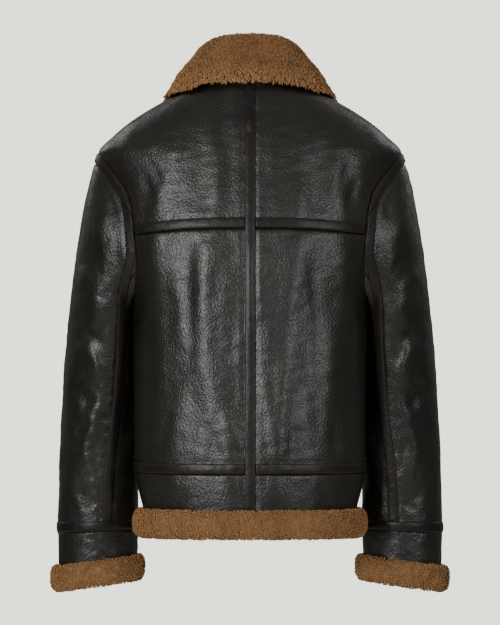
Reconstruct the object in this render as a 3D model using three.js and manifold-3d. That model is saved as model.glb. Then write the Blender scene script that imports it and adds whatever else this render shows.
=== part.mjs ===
// A hip-length shearling jacket, filled out as it is worn: dark leather outside, clipped wool inside.
// Millimetres, +Z up. The wearer faces -Y and +X is the wearer's left. The origin is the middle of the
// neck opening at the height of the back neck seam, so "drop" is the distance below that height.
import * as THREE from "three";
import Module from "manifold-3d";
import { mergeVertices } from "three/addons/utils/BufferGeometryUtils.js";

// Driving dimensions
const SKIN = 6; // thickness of the shearling: leather with the pile behind it
const SEAM_GAP = 0.3; // between two panels sewn to each other
const EASE = SEAM_GAP / 2;
const SQUARENESS = 2.4; // exponent of the torso's rounded sections, where 2 is an ellipse
const STRAP = { width: 15, thickness: 1.5, lift: 0.8, stiffness: 0.3 }; // leather tape sewn over the seams
const HEM_SEAM = 594; // drop of the seam between body and hem band
const BAND_END = 651; // drop of the hem band's lower edge
const YOKE_DROP = 231; // at centre back
const SHOULDER_TURN = 62; // where the shoulder seam meets the neckline, in degrees from centre back
const SIDE_RADIUS = 165; // about the torso's half width, for small angles at the side seam
const ARMHOLE = { y: -2, drop: 230, halfDepth: 82, halfHeight: 112, sag: 10, fullness: 0.85 };
const SHOULDER_RADIUS = { tip: 110, neck: 72 }; // for small angles at the shoulder seam
const ZIP = { slot: 7, tape: 2.4, depth: 1.5, top: 94 };
const COLLAR = { seamGap: 0.6, thickness: 9, foldRadius: 4, edgeThickness: 5, rise: 5, fallBulge: 1.5 };
const HEM_TRIM_JOIN = 16; // x of the join in the hem's wool
const STATION_LENGTH = 55; // about how far apart two stations of the sleeve table are

// How many steps each direction is divided into
const STEPS = { side: 6, quarterArmhole: 6, shoulder: 7, across: 10, band: 2, sleeve: 10, hemTrim: 20 };
const ARMHOLE_STEPS = 4 * STEPS.quarterArmhole;
const SLEEVE_SEAMS = { back: 8, front: 16 }; // armhole steps from the shoulder to each sleeve seam
const STRAP_JOINT = 4; // armhole step where the sleeve's strap starts on the armhole's, at a slant

// Where folds fade in: the second number of each pair is the place where they are whole
const BODY_FADES = { armhole: [1.05, 1.5], strap: [6, 34], neck: [30, 90], side: [0.02, 0.4], zip: [9, 24] };
const SLEEVE_FADES = { side: [0, 0.6], top: [0.4, 1.8], strap: [0.2, 0.75], wrist: [9.2, 10] };
const UNDER_STRAP = 0.08; // share of a fold's depth that is left under the sleeve's strap
const SETTLING = [0, 1.6]; // stations over which the armhole's shape turns into the sleeve's

const LEATHER = new THREE.MeshStandardMaterial({ color: 0x2a2926, roughness: 0.42, metalness: 0 });
const TAPE_LEATHER = new THREE.MeshStandardMaterial({ color: 0x302c29, roughness: 0.5, metalness: 0 });
const WOOL = new THREE.MeshStandardMaterial({ color: 0x7a5635, roughness: 0.95, metalness: 0 });
const ZIP_CLOTH = new THREE.MeshStandardMaterial({ color: 0x1b1a19, roughness: 0.8, metalness: 0 });
const METAL = new THREE.MeshStandardMaterial({ color: 0x8d8a83, roughness: 0.35, metalness: 1 });

// Horizontal sections of the torso, from the neck down
const TORSO = [
  { drop: 0, halfWidth: 66, back: 71, front: 60 },
  { drop: 14, halfWidth: 78, back: 75, front: 66 },
  { drop: 28, halfWidth: 104, back: 81, front: 74 },
  { drop: 42, halfWidth: 130.5, back: 86, front: 82 },
  { drop: 58, halfWidth: 158, back: 91, front: 90 },
  { drop: 75, halfWidth: 183, back: 97, front: 98 },
  { drop: 93, halfWidth: 204, back: 102, front: 107 },
  { drop: 118, halfWidth: 226, back: 108, front: 117 },
  { drop: 144, halfWidth: 220, back: 113, front: 126 },
  { drop: 182, halfWidth: 208, back: 120, front: 135 },
  { drop: 230, halfWidth: 205, back: 126, front: 141 },
  { drop: 290, halfWidth: 190, back: 130, front: 144 },
  { drop: 342, halfWidth: 175, back: 131, front: 143 },
  { drop: 400, halfWidth: 174.5, back: 130, front: 140 },
  { drop: 520, halfWidth: 173.5, back: 127, front: 134 },
  { drop: 594, halfWidth: 172, back: 124, front: 130 },
  { drop: 610, halfWidth: 169, back: 123, front: 128 },
  { drop: 651, halfWidth: 158.5, back: 119, front: 124 },
];

// Height of the neck seam, by the angle round the neck in degrees from centre back
const NECKLINE = [
  { turn: 0, drop: 4 },
  { turn: 30, drop: 6 },
  { turn: 62, drop: 11 },
  { turn: 90, drop: 16 },
  { turn: 120, drop: 23 },
  { turn: 150, drop: 46 },
  { turn: 180, drop: 80 },
];

// Sleeve sections at their stations, from the armhole (0) to the wrist seam (10) and the leather's end
// (11). Each one is an oval whose long axis runs from its outer to its inner point, seen from behind. seam
// is the angle of the back seam round the oval, in degrees from the outer point.
const SLEEVE = [
  { at: 0, outerX: 226, outerDrop: 118, innerX: 172, innerDrop: 342, y: -2, halfDepth: 82, seam: 120 },
  { at: 1, outerX: 240, outerDrop: 160, innerX: 175, innerDrop: 356, y: -11, halfDepth: 80, seam: 124.5 },
  { at: 2, outerX: 251, outerDrop: 215, innerX: 176.5, innerDrop: 378, y: -20, halfDepth: 78, seam: 128.5 },
  { at: 3, outerX: 261, outerDrop: 275, innerX: 176.5, innerDrop: 405, y: -29, halfDepth: 76, seam: 129.5 },
  { at: 4, outerX: 269, outerDrop: 335, innerX: 175.5, innerDrop: 435, y: -38, halfDepth: 73, seam: 128.5 },
  { at: 5, outerX: 275, outerDrop: 395, innerX: 174, innerDrop: 470, y: -47, halfDepth: 69, seam: 125 },
  { at: 6, outerX: 280, outerDrop: 457, innerX: 171.5, innerDrop: 509, y: -56, halfDepth: 65, seam: 120 },
  { at: 7, outerX: 284, outerDrop: 519, innerX: 169.5, innerDrop: 551, y: -63, halfDepth: 61, seam: 113 },
  { at: 8, outerX: 287, outerDrop: 581, innerX: 168.5, innerDrop: 597, y: -69, halfDepth: 57, seam: 107 },
  { at: 9, outerX: 288.5, outerDrop: 638, innerX: 168, innerDrop: 642, y: -74, halfDepth: 53, seam: 104.5 },
  { at: 10, outerX: 289, outerDrop: 687, innerX: 168.5, innerDrop: 681, y: -77, halfDepth: 50, seam: 103.5 },
  { at: 11, outerX: 288.5, outerDrop: 739, innerX: 170, innerDrop: 722, y: -80, halfDepth: 47, seam: 103.5 },
];
const WRIST_STATION = 10;
const CUFF_STATION = 11;

// Folds: a soft ridge (depth above 0) or trough (below 0) along the line from (x0, drop0) to (x1, drop1)
const BACK_FOLDS = [
  { x0: 55, drop0: 205, x1: 74, drop1: 420, width: 21, depth: 6 },
  { x0: 76, drop0: 395, x1: 28, drop1: 575, width: 22, depth: 5 },
  { x0: 21, drop0: 225, x1: 17, drop1: 520, width: 12, depth: -4.5 },
  { x0: 97, drop0: 225, x1: 106, drop1: 500, width: 19, depth: -4.5 },
  { x0: 138, drop0: 230, x1: 132, drop1: 470, width: 20, depth: 3.5 },
  { x0: 100, drop0: 85, x1: 139, drop1: 215, width: 15, depth: 3.5 },
  { x0: 74, drop0: 95, x1: 90, drop1: 220, width: 15, depth: -3 },
  { x0: -43, drop0: 225, x1: -12, drop1: 395, width: 14, depth: -4.5 },
  { x0: -76, drop0: 150, x1: -54, drop1: 395, width: 17, depth: 6 },
  { x0: -57, drop0: 370, x1: -36, drop1: 640, width: 18, depth: 5.5 },
  { x0: -96, drop0: 100, x1: -103, drop1: 260, width: 16, depth: -4.5 },
  { x0: -104, drop0: 250, x1: -84, drop1: 520, width: 19, depth: -4.5 },
  { x0: -118, drop0: 120, x1: -150, drop1: 235, width: 14, depth: 3.5 },
  { x0: -148, drop0: 240, x1: -130, drop1: 460, width: 18, depth: 3.5 },
  { x0: 46, drop0: 585, x1: 42, drop1: 665, width: 20, depth: 3 },
];
const FRONT_FOLDS = [
  { x0: 60, drop0: 190, x1: 78, drop1: 420, width: 20, depth: 5 },
  { x0: 40, drop0: 300, x1: 36, drop1: 560, width: 14, depth: -3.5 },
  { x0: 104, drop0: 170, x1: 112, drop1: 470, width: 19, depth: -4 },
  { x0: 140, drop0: 260, x1: 128, drop1: 500, width: 19, depth: 3.5 },
  { x0: 82, drop0: 430, x1: 60, drop1: 610, width: 18, depth: 4 },
  { x0: 150, drop0: 120, x1: 128, drop1: 230, width: 15, depth: -3.5 },
  { x0: -56, drop0: 180, x1: -70, drop1: 380, width: 18, depth: 4.5 },
  { x0: -96, drop0: 200, x1: -100, drop1: 450, width: 19, depth: -4.5 },
  { x0: -36, drop0: 340, x1: -42, drop1: 575, width: 14, depth: -3 },
  { x0: -70, drop0: 400, x1: -62, drop1: 620, width: 19, depth: 4.5 },
  { x0: -138, drop0: 250, x1: -126, drop1: 470, width: 18, depth: 3.5 },
  { x0: -148, drop0: 115, x1: -130, drop1: 225, width: 15, depth: -3 },
];
const SLEEVE_BACK_FOLDS = [
  { x0: 244, drop0: 395, x1: 206, drop1: 485, width: 14, depth: 6 },
  { x0: 214, drop0: 480, x1: 246, drop1: 560, width: 15, depth: 6 },
  { x0: 248, drop0: 550, x1: 221, drop1: 625, width: 13, depth: 5.5 },
  { x0: 262, drop0: 455, x1: 236, drop1: 500, width: 13, depth: -4 },
  { x0: 232, drop0: 540, x1: 222, drop1: 600, width: 11, depth: -5 },
  { x0: 172, drop0: 525, x1: 205, drop1: 610, width: 11, depth: 5.5 },
  { x0: 180, drop0: 470, x1: 196, drop1: 540, width: 12, depth: -4.5 },
  { x0: 250, drop0: 285, x1: 222, drop1: 375, width: 17, depth: 4.5 },
  { x0: 256, drop0: 350, x1: 214, drop1: 430, width: 13, depth: -4 },
  { x0: 206, drop0: 165, x1: 222, drop1: 250, width: 13, depth: 4 },
  { x0: 182, drop0: 215, x1: 196, drop1: 290, width: 10, depth: -3.5 },
  { x0: 262, drop0: 620, x1: 206, drop1: 655, width: 11, depth: -3 },
];
const SLEEVE_FRONT_FOLDS = [
  { x0: 252, drop0: 430, x1: 192, drop1: 478, width: 12, depth: -5.5 },
  { x0: 262, drop0: 468, x1: 200, drop1: 512, width: 12, depth: 5 },
  { x0: 250, drop0: 512, x1: 190, drop1: 538, width: 11, depth: -5 },
  { x0: 240, drop0: 560, x1: 205, drop1: 640, width: 14, depth: 4 },
  { x0: 200, drop0: 190, x1: 226, drop1: 300, width: 14, depth: -4 },
  { x0: 238, drop0: 220, x1: 246, drop1: 380, width: 17, depth: 4 },
];

// Collar, by the angle round the neck in degrees: where its fold and its outer edge lie, each at its own
// angle, and how far the edge stands off the body
const COLLAR_LINES = [
  { turn: 0, foldTurn: 0, foldRadius: 72, foldDrop: -47, edgeTurn: 0, edgeDrop: 18, standOff: 8 },
  { turn: 30, foldTurn: 30, foldRadius: 72, foldDrop: -45, edgeTurn: 31, edgeDrop: 20, standOff: 7 },
  { turn: 62, foldTurn: 61, foldRadius: 71, foldDrop: -37, edgeTurn: 62, edgeDrop: 27, standOff: 5 },
  { turn: 90, foldTurn: 88, foldRadius: 69, foldDrop: -27, edgeTurn: 88, edgeDrop: 38, standOff: 2 },
  { turn: 120, foldTurn: 117, foldRadius: 73, foldDrop: -10, edgeTurn: 113, edgeDrop: 62, standOff: 3 },
  { turn: 150, foldTurn: 147, foldRadius: 83, foldDrop: 14, edgeTurn: 138, edgeDrop: 101, standOff: 4 },
  { turn: 180, foldTurn: 173, foldRadius: 102, foldDrop: 46, edgeTurn: 160, edgeDrop: 150, standOff: 4 },
];

// Outlines of the wool trims: how far out from the leather's face and how far below its edge
const HEM_TRIM = [
  { out: -8, below: 0.4 },
  { out: 0.8, below: 0.4 },
  { out: 3.5, below: -3.5 },
  { out: 9.5, below: -2.5 },
  { out: 14.5, below: 5 },
  { out: 16.5, below: 15 },
  { out: 16, below: 27 },
  { out: 12, below: 35.5 },
  { out: 3, below: 40 },
  { out: -6, below: 38 },
  { out: -10.5, below: 30 },
  { out: -10.5, below: 12 },
];
const CUFF_TRIM = [
  { out: -7, below: 0.4 },
  { out: 0.8, below: 0.4 },
  { out: 3, below: -3.5 },
  { out: 8, below: -2 },
  { out: 11.5, below: 5 },
  { out: 12.5, below: 16 },
  { out: 11, below: 28 },
  { out: 5, below: 36 },
  { out: -3, below: 37 },
  { out: -8.5, below: 29 },
  { out: -9, below: 10 },
];

// Zip slider and pull tab. The slider's plates lie in front of and behind the teeth.
const SLIDER = { drop: 96, width: 9.5, length: 12, plate: 1.4, clearance: 0.35, post: 3 };
const BRIDGE = { width: 2.6, wall: 1.2, gap: 2.8, length: 7, sunk: 0.5 };
const TAB = { width: 8, length: 32, thickness: 1.4, rod: 1.3, sideBar: 1.6, window: 9 };

// Small mathematics
const radians = (degrees) => (degrees * Math.PI) / 180;
const mix = (a, b, t) => a + (b - a) * t;
const clamp = (value, low, high) => Math.min(Math.max(value, low), high);
const steps = (from, to, count) => Array.from({ length: count + 1 }, (_, i) => mix(from, to, i / count));
const vector = (x, y, z) => new THREE.Vector3(x, y, z);
const nameOf = (part, side) => `${part}_${side > 0 ? "left" : "right"}`;

function smooth(low, high, value) {
  const t = clamp((value - low) / (high - low), 0, 1);
  return t * t * (3 - 2 * t);
}

// The smooth curve through one column of a table, which never overshoots its rows
function curve(table, key, name) {
  const at = table.map((row) => row[key]);
  const values = table.map((row) => row[name]);
  const last = at.length - 1;
  const secant = (i) => (values[i + 1] - values[i]) / (at[i + 1] - at[i]);
  const slopes = at.map((_, i) => {
    if (i === 0) return secant(0);
    if (i === last) return secant(last - 1);
    const [before, after] = [secant(i - 1), secant(i)];
    return before * after <= 0 ? 0 : (2 * before * after) / (before + after);
  });
  return (place) => {
    const x = clamp(place, at[0], at[last]);
    let i = 0;
    while (i < last - 1 && x > at[i + 1]) i += 1;
    const span = at[i + 1] - at[i];
    const t = (x - at[i]) / span;
    const bend = slopes[i] * t * (1 - t) ** 2 - slopes[i + 1] * t * t * (1 - t);
    return mix(values[i], values[i + 1], t * t * (3 - 2 * t)) + span * bend;
  };
}

function curves(table, key) {
  const names = Object.keys(table[0]).filter((name) => name !== key);
  const columns = Object.fromEntries(names.map((name) => [name, curve(table, key, name)]));
  return (place) => Object.fromEntries(names.map((name) => [name, columns[name](place)]));
}

const torsoAt = curves(TORSO, "drop");
const sleeveAt = curves(SLEEVE, "at");
const collarAt = curves(COLLAR_LINES, "turn");
const necklineDrop = curve(NECKLINE, "turn", "drop");

// How far the folds of a table move a point out
function foldHeight(table, x, drop) {
  return table.reduce((sum, fold) => {
    const [dx, dd] = [fold.x1 - fold.x0, fold.drop1 - fold.drop0];
    const along = clamp(((x - fold.x0) * dx + (drop - fold.drop0) * dd) / (dx * dx + dd * dd), 0, 1);
    const away = Math.hypot(x - fold.x0 - along * dx, drop - fold.drop0 - along * dd) / fold.width;
    const swell = 1 - (2 * along - 1) ** 4;
    return sum + fold.depth * swell * Math.exp(-away * away);
  }, 0);
}

// Outward normal of a surface given as a function of two numbers
function normalOf(surface, a, b, stepA, stepB) {
  const alongA = surface(a + stepA, b).sub(surface(a - stepA, b));
  const alongB = surface(a, b + stepB).sub(surface(a, b - stepB));
  return alongA.cross(alongB).normalize();
}

// The leather's outer face on the torso. turn runs from centre back (0) over the wearer's left (90 degrees)
// to centre front, and the wearer's right has negative turns. Folds fade out at the stiff straps, at the
// armhole and along the zip.
function torso(turn, drop, folded = true) {
  const [across, ahead] = [Math.sin(turn), Math.cos(turn)];
  const at = torsoAt(drop);
  const depth = ahead > 0 ? at.back : at.front;
  const section = Math.abs(across / at.halfWidth) ** SQUARENESS + Math.abs(ahead / depth) ** SQUARENESS;
  const radius = section ** (-1 / SQUARENESS);
  if (!folded) return vector(radius * across, radius * ahead, -drop);
  const [x, y] = [radius * across, radius * ahead];
  const [fromMiddle, fromCentre] = [drop - ARMHOLE.drop, y - ARMHOLE.y];
  const ring = (fromCentre / ARMHOLE.halfDepth) ** 2 + (fromMiddle / ARMHOLE.halfHeight) ** 2;
  const fromStrap = Math.min(Math.abs(drop - YOKE_DROP), Math.abs(drop - HEM_SEAM));
  const free =
    smooth(...BODY_FADES.armhole, ring) *
    mix(STRAP.stiffness, 1, smooth(...BODY_FADES.strap, fromStrap)) *
    smooth(...BODY_FADES.neck, drop);
  const behind = smooth(...BODY_FADES.side, ahead);
  const before = smooth(...BODY_FADES.side, -ahead) * smooth(...BODY_FADES.zip, Math.abs(x));
  const folds = behind * foldHeight(BACK_FOLDS, x, drop) + before * foldHeight(FRONT_FOLDS, x, drop);
  const out = radius + folds * free;
  return vector(out * across, out * ahead, -drop);
}
const torsoNormal = (turn, drop) => normalOf(torso, turn, drop, 0.01, 0.5);

// A place on the armhole seam: phi runs from the shoulder tip (0) over the back (90 degrees) to the underarm
function armholePlace(phi) {
  const forward = Math.sign(Math.sin(phi)) * Math.abs(Math.sin(phi)) ** ARMHOLE.fullness;
  const y = ARMHOLE.y + ARMHOLE.halfDepth * forward;
  const drop = ARMHOLE.drop - ARMHOLE.halfHeight * Math.cos(phi) + ARMHOLE.sag * Math.sin(phi) ** 2;
  const at = torsoAt(drop);
  const depth = y > 0 ? at.back : at.front;
  const x = at.halfWidth * (1 - Math.abs(y / depth) ** SQUARENESS) ** (1 / SQUARENESS);
  return { turn: Math.atan2(x, y), drop };
}

function armholePoint(phi) {
  const { turn, drop } = armholePlace(phi);
  return torso(turn, drop, false);
}

// The plain oval of a sleeve section
function sleeveOval(phi, station) {
  const at = sleeveAt(station);
  const outward = (1 + Math.cos(phi)) / 2;
  return vector(
    mix(at.innerX, at.outerX, outward),
    at.y + at.halfDepth * Math.sin(phi),
    -mix(at.innerDrop, at.outerDrop, outward),
  );
}

// The angle of the sleeve's back seam, under its strap
const seamPhi = (station) => radians(sleeveAt(station).seam);

// The leather's outer face on the left sleeve: it starts on the armhole seam and settles into the ovals.
// Folds are shallower under the strap.
function sleeve(phi, station) {
  const toArmhole = armholePoint(phi).sub(sleeveOval(phi, 0));
  const point = sleeveOval(phi, station).addScaledVector(toArmhole, 1 - smooth(...SETTLING, station));
  const middle = sleeveOval(0, station).add(sleeveOval(Math.PI, station)).multiplyScalar(0.5);
  const outward = point.clone().sub(middle).normalize();
  const behind = Math.sin(phi);
  const folds =
    smooth(...SLEEVE_FADES.side, behind) * foldHeight(SLEEVE_BACK_FOLDS, point.x, -point.z) +
    smooth(...SLEEVE_FADES.side, -behind) * foldHeight(SLEEVE_FRONT_FOLDS, point.x, -point.z);
  const fromStrap = Math.abs(phi - seamPhi(station));
  const free =
    smooth(...SLEEVE_FADES.top, station) *
    (1 - smooth(...SLEEVE_FADES.wrist, station)) *
    mix(UNDER_STRAP, 1, smooth(...SLEEVE_FADES.strap, fromStrap));
  return point.addScaledVector(outward, folds * free);
}
const sleeveNormal = (phi, station) =>
  normalOf(sleeve, phi, clamp(station, 0.03, CUFF_STATION - 0.03), 0.01, 0.02).negate();

// A vertex of a wall is a pair of points, on its outer and its inner face
const between = (a, b, t) => ({
  outer: a.outer.clone().lerp(b.outer, t),
  inner: a.inner.clone().lerp(b.inner, t),
});
const mirrorPoint = (p) => vector(-p.x, p.y, p.z);
const mirrored = ({ outer, inner }) => ({ outer: mirrorPoint(outer), inner: mirrorPoint(inner) });
const onSide = (side, vertex) => (side > 0 ? vertex : mirrored(vertex));
const faceNormal = ({ outer, inner }) => outer.clone().sub(inner).normalize();
const gapBetween = (a, b) => a.outer.distanceTo(b.outer);

// The edge of the body (part 1) or of the sleeve (part -1) at the armhole seam, mitred between both walls
function armholeVertex(phi, part) {
  const { turn, drop } = armholePlace(phi);
  const seam = armholePoint(phi);
  const bodyIn = normalOf((t, d) => torso(t, d, false), turn, drop, 0.01, 0.5).negate();
  const sleeveIn = sleeveNormal(phi, 0.1).negate();
  const along = armholePoint(phi + 0.01).sub(armholePoint(phi - 0.01)).normalize();
  const bodyOn = along.clone().cross(bodyIn).normalize();
  if (bodyOn.dot(vector(0, ARMHOLE.y - seam.y, -ARMHOLE.drop - seam.z)) < 0) bodyOn.negate();
  const sleeveBack = sleeve(phi, 0).sub(sleeve(phi, 0.1)).normalize();
  const mitre = bodyIn.clone().add(sleeveIn).add(bodyOn).add(sleeveBack);
  mitre.addScaledVector(along, -mitre.dot(along)).normalize();
  const toBody = bodyIn.clone().sub(sleeveIn).sub(bodyOn).add(sleeveBack);
  toBody.addScaledVector(along, -toBody.dot(along)).addScaledVector(mitre, -toBody.dot(mitre)).normalize();
  const outer = seam.addScaledVector(toBody, part * EASE);
  const length = SKIN * clamp(1 / Math.max(mitre.dot(bodyIn), 0.1), 1, 1.35);
  return { outer, inner: outer.clone().addScaledVector(mitre, length) };
}

function torsoVertex(turn, drop) {
  const outer = torso(turn, drop);
  return { outer, inner: outer.clone().addScaledVector(torsoNormal(turn, drop), -SKIN) };
}

function sleeveVertex(phi, station) {
  if (station === 0) return armholeVertex(phi, -1);
  const outer = sleeve(phi, station);
  return { outer, inner: outer.clone().addScaledVector(sleeveNormal(phi, station), -SKIN) };
}

// Solids

function signedVolume(points, faces) {
  return faces.reduce((sum, [a, b, c]) => sum + points[a].dot(points[b].clone().cross(points[c])) / 6, 0);
}

function solid(name, points, faces, material) {
  const outward = signedVolume(points, faces) > 0;
  const geometry = new THREE.BufferGeometry().setFromPoints(points);
  geometry.setIndex(faces.flatMap(([a, b, c]) => (outward ? [a, b, c] : [a, c, b])));
  geometry.computeVertexNormals();
  const mesh = new THREE.Mesh(geometry, material);
  mesh.name = name;
  return mesh;
}

// A wall from a grid of vertices, a list of rows. A ring's last column meets its first.
function wall(name, grid, material, ring = false) {
  const [rows, columns] = [grid.length, grid[0].length];
  const outer = (i, j) => i * columns + (j % columns);
  const inner = (i, j) => rows * columns + outer(i, j);
  const faces = [];
  const quad = (a, b, c, d) => faces.push([a, b, c], [a, c, d]);
  const last = ring ? columns : columns - 1;
  for (let i = 0; i < rows - 1; i += 1) {
    for (let j = 0; j < last; j += 1) {
      quad(outer(i, j), outer(i, j + 1), outer(i + 1, j + 1), outer(i + 1, j));
      quad(inner(i, j), inner(i + 1, j), inner(i + 1, j + 1), inner(i, j + 1));
    }
    if (!ring) {
      quad(outer(i, 0), outer(i + 1, 0), inner(i + 1, 0), inner(i, 0));
      quad(outer(i, last), inner(i, last), inner(i + 1, last), outer(i + 1, last));
    }
  }
  for (let j = 0; j < last; j += 1) {
    quad(outer(0, j), inner(0, j), inner(0, j + 1), outer(0, j + 1));
    quad(outer(rows - 1, j), outer(rows - 1, j + 1), inner(rows - 1, j + 1), inner(rows - 1, j));
  }
  const points = [...grid.flat().map((v) => v.outer), ...grid.flat().map((v) => v.inner)];
  return solid(name, points, faces, material);
}

// A bar swept through closed profiles, capped at both ends unless it closes on itself
function bar(name, profiles, material, capped = true) {
  const [rows, columns] = [profiles.length, profiles[0].length];
  const at = (i, j) => (i % rows) * columns + (j % columns);
  const faces = [];
  for (let i = 0; i < (capped ? rows - 1 : rows); i += 1) {
    for (let j = 0; j < columns; j += 1) {
      faces.push([at(i, j), at(i, j + 1), at(i + 1, j + 1)], [at(i, j), at(i + 1, j + 1), at(i + 1, j)]);
    }
  }
  const points = profiles.flat();
  const capRows = capped ? [0, rows - 1] : [];
  capRows.forEach((row) => {
    const middle = points.length;
    points.push(profiles[row].reduce((sum, p) => sum.add(p), vector(0, 0, 0)).divideScalar(columns));
    for (let j = 0; j < columns; j += 1) {
      const edge = row === 0 ? [at(row, j + 1), at(row, j)] : [at(row, j), at(row, j + 1)];
      faces.push([middle, ...edge]);
    }
  });
  return solid(name, points, faces, material);
}

// Leather tape: a grid of places on a panel's faces, moved out
function strap(name, places, ring = false, lift = STRAP.lift) {
  const grid = places.map((row) =>
    row.map((place) => {
      const normal = place.normal ?? faceNormal(place);
      return {
        outer: place.outer.clone().addScaledVector(normal, lift + STRAP.thickness),
        inner: place.outer.clone().addScaledVector(normal, lift),
      };
    }),
  );
  return wall(name, grid, TAPE_LEATHER, ring);
}

// Panels of the body. Each is a grid of rows from the middle (centre back or zip) to the side. A row ends
// at the place {turn, drop} or, where phi is given, on the armhole seam. Places are for the left side.

const sideTurn = (back) => Math.PI / 2 + (back ? -EASE : EASE) / SIDE_RADIUS;
const strapTurn = (drop) => STRAP.width / 2 / torsoAt(drop).back;
const zipTurn = (drop) => Math.PI - ZIP.slot / torsoAt(drop).front;
const armholePhis = steps(0, 2 * Math.PI, ARMHOLE_STEPS);
const underarm = armholePlace(Math.PI);
const shoulderTip = armholePlace(0);
const yokeSide = armholePlace(Math.PI / 2);
const sideDrops = steps(HEM_SEAM - EASE, underarm.drop, STEPS.side);
const shoulderSteps = steps(0, 1, STEPS.shoulder).slice(1);

const yokeSeamDrop = (turn) =>
  mix(YOKE_DROP, yokeSide.drop, (Math.sin(turn) / Math.sin(yokeSide.turn)) ** 4);

// Turns across the back: the centre seam, the edge of the centre strap, then evenly out to the side
function backTurns(drop, endTurn) {
  const strapEdge = strapTurn(drop);
  return [EASE / torsoAt(drop).back, ...steps(strapEdge, endTurn, STEPS.across - 1)];
}

function bodyRow(side, row, turns, dropAt) {
  return turns.map((turn, j) => {
    if (j === turns.length - 1 && row.phi !== undefined) return onSide(side, armholeVertex(row.phi, 1));
    const share = (turn - turns[0]) / (turns.at(-1) - turns[0]);
    return torsoVertex(side * turn, dropAt(turn, share));
  });
}

// A row end on the shoulder seam, from the tip (0) to the neckline (1), on its back or front side
function shoulderEnd(t, back) {
  const neckDrop = necklineDrop(SHOULDER_TURN);
  const ease = (back ? -EASE : EASE) / mix(SHOULDER_RADIUS.tip, SHOULDER_RADIUS.neck, t);
  return {
    turn: mix(shoulderTip.turn, radians(SHOULDER_TURN), t) + ease,
    drop: mix(shoulderTip.drop, neckDrop, t),
  };
}

// Rows between a lower and an upper seam, each given as a function of turn
function rowsBetween(side, ends, lower, upper) {
  const [start, finish] = [ends[0].drop, ends.at(-1).drop];
  return ends.map((end) => {
    const share = (start - end.drop) / (start - finish);
    const level = (turn) => mix(lower(turn), upper(turn), share);
    const miss = end.drop - level(end.turn);
    const dropAt = (turn, across) => level(turn) + miss * across ** 3;
    return bodyRow(side, end, backTurns(end.drop, end.turn), dropAt);
  });
}

const armholeEnds = (from, to) =>
  armholePhis.slice(from, to).map((phi) => ({ ...armholePlace(phi), phi }));
const [quarter, half] = [STEPS.quarterArmhole, 2 * STEPS.quarterArmhole];

function backGrid(side) {
  const sideEnds = sideDrops.slice(0, -1).map((drop) => ({ turn: sideTurn(true), drop }));
  const ends = [...sideEnds, ...armholeEnds(quarter, half + 1).reverse()];
  ends.at(-1).drop += EASE;
  return rowsBetween(
    side,
    ends,
    () => HEM_SEAM - EASE,
    (turn) => yokeSeamDrop(turn) + EASE,
  );
}

function yokeGrid(side) {
  const ends = [
    ...armholeEnds(0, quarter + 1).reverse(),
    ...shoulderSteps.map((t) => shoulderEnd(t, true)),
  ];
  ends[0].drop -= EASE;
  return rowsBetween(
    side,
    ends,
    (turn) => yokeSeamDrop(turn) - EASE,
    (turn) => necklineDrop(THREE.MathUtils.radToDeg(turn)),
  );
}

const NECK_CORNER = 4; // degrees of neckline at the front panel's top end
const frontNeckTurns = steps(
  THREE.MathUtils.radToDeg(zipTurn(necklineDrop(180))),
  SHOULDER_TURN + NECK_CORNER,
  STEPS.shoulder,
);

function frontGrid(side) {
  const neckStart = necklineDrop(frontNeckTurns[0]);
  const sideEnds = sideDrops.slice(0, -1).map((drop) => ({ turn: sideTurn(false), drop }));
  const lower = [...sideEnds, ...armholeEnds(half, ARMHOLE_STEPS + 1)].map((end) => {
    const raised = clamp((underarm.drop - end.drop) / (underarm.drop - shoulderTip.drop), 0, 1);
    const drop = mix(end.drop, neckStart, raised ** 2);
    return { end, start: { turn: zipTurn(drop), drop } };
  });
  const upper = shoulderSteps.map((t, i) => {
    const degrees = frontNeckTurns[i + 1];
    return { end: shoulderEnd(t, false), start: { turn: radians(degrees), drop: necklineDrop(degrees) } };
  });
  return [...lower, ...upper].map(({ start, end }) => {
    const turns = steps(start.turn, end.turn, STEPS.across);
    return bodyRow(side, end, turns, (turn, across) => mix(start.drop, end.drop, across));
  });
}

function bandGrid(side, back) {
  return steps(HEM_SEAM + EASE, BAND_END, STEPS.band).map((drop) => {
    const end = { turn: sideTurn(back), drop };
    const turns = back ? backTurns(drop, end.turn) : steps(zipTurn(drop), end.turn, STEPS.across);
    return bodyRow(side, end, turns, () => drop);
  });
}

// A row of places a fraction or a distance away from one row towards the next
const rowBetween = (a, b, t) => a.map((vertex, j) => between(vertex, b[j], t));
const rowAtDistance = (a, b, distance) =>
  a.map((vertex, j) => between(vertex, b[j], distance / gapBetween(vertex, b[j])));

// A strap's width on the first row of a grid, its edge at the seam
const strapRows = (grid) =>
  [0, 0.5, 1].map((share) => rowAtDistance(grid[0], grid[1], share * STRAP.width));

function centreBackStrap(left, right) {
  const lowest = 2.6; // clear of the wool that bulges over the band's edge
  const highest = 0.2; // share of the yoke's last row that stays free for the collar
  const rowsOf = ({ band, back, yoke }) => {
    const bandRows = [...band].reverse();
    const foot = rowAtDistance(bandRows[0], bandRows[1], lowest);
    const head = rowBetween(yoke.at(-1), yoke.at(-2), highest);
    return [foot, ...bandRows.slice(1), ...back.slice(1), ...yoke.slice(1, -1), head];
  };
  const [leftRows, rightRows] = [rowsOf(left), rowsOf(right)];
  const places = leftRows.map((row, i) => [
    rightRows[i][1],
    between(rightRows[i][0], row[0], 0.5),
    row[1],
  ]);
  return strap("strap_centre_back", places);
}

// The strap starts beside the centre strap
function fromCentreStrap(row) {
  const start = between(row[1], row[2], SEAM_GAP / gapBetween(row[1], row[2]));
  return [start, ...row.slice(2)];
}

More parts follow.
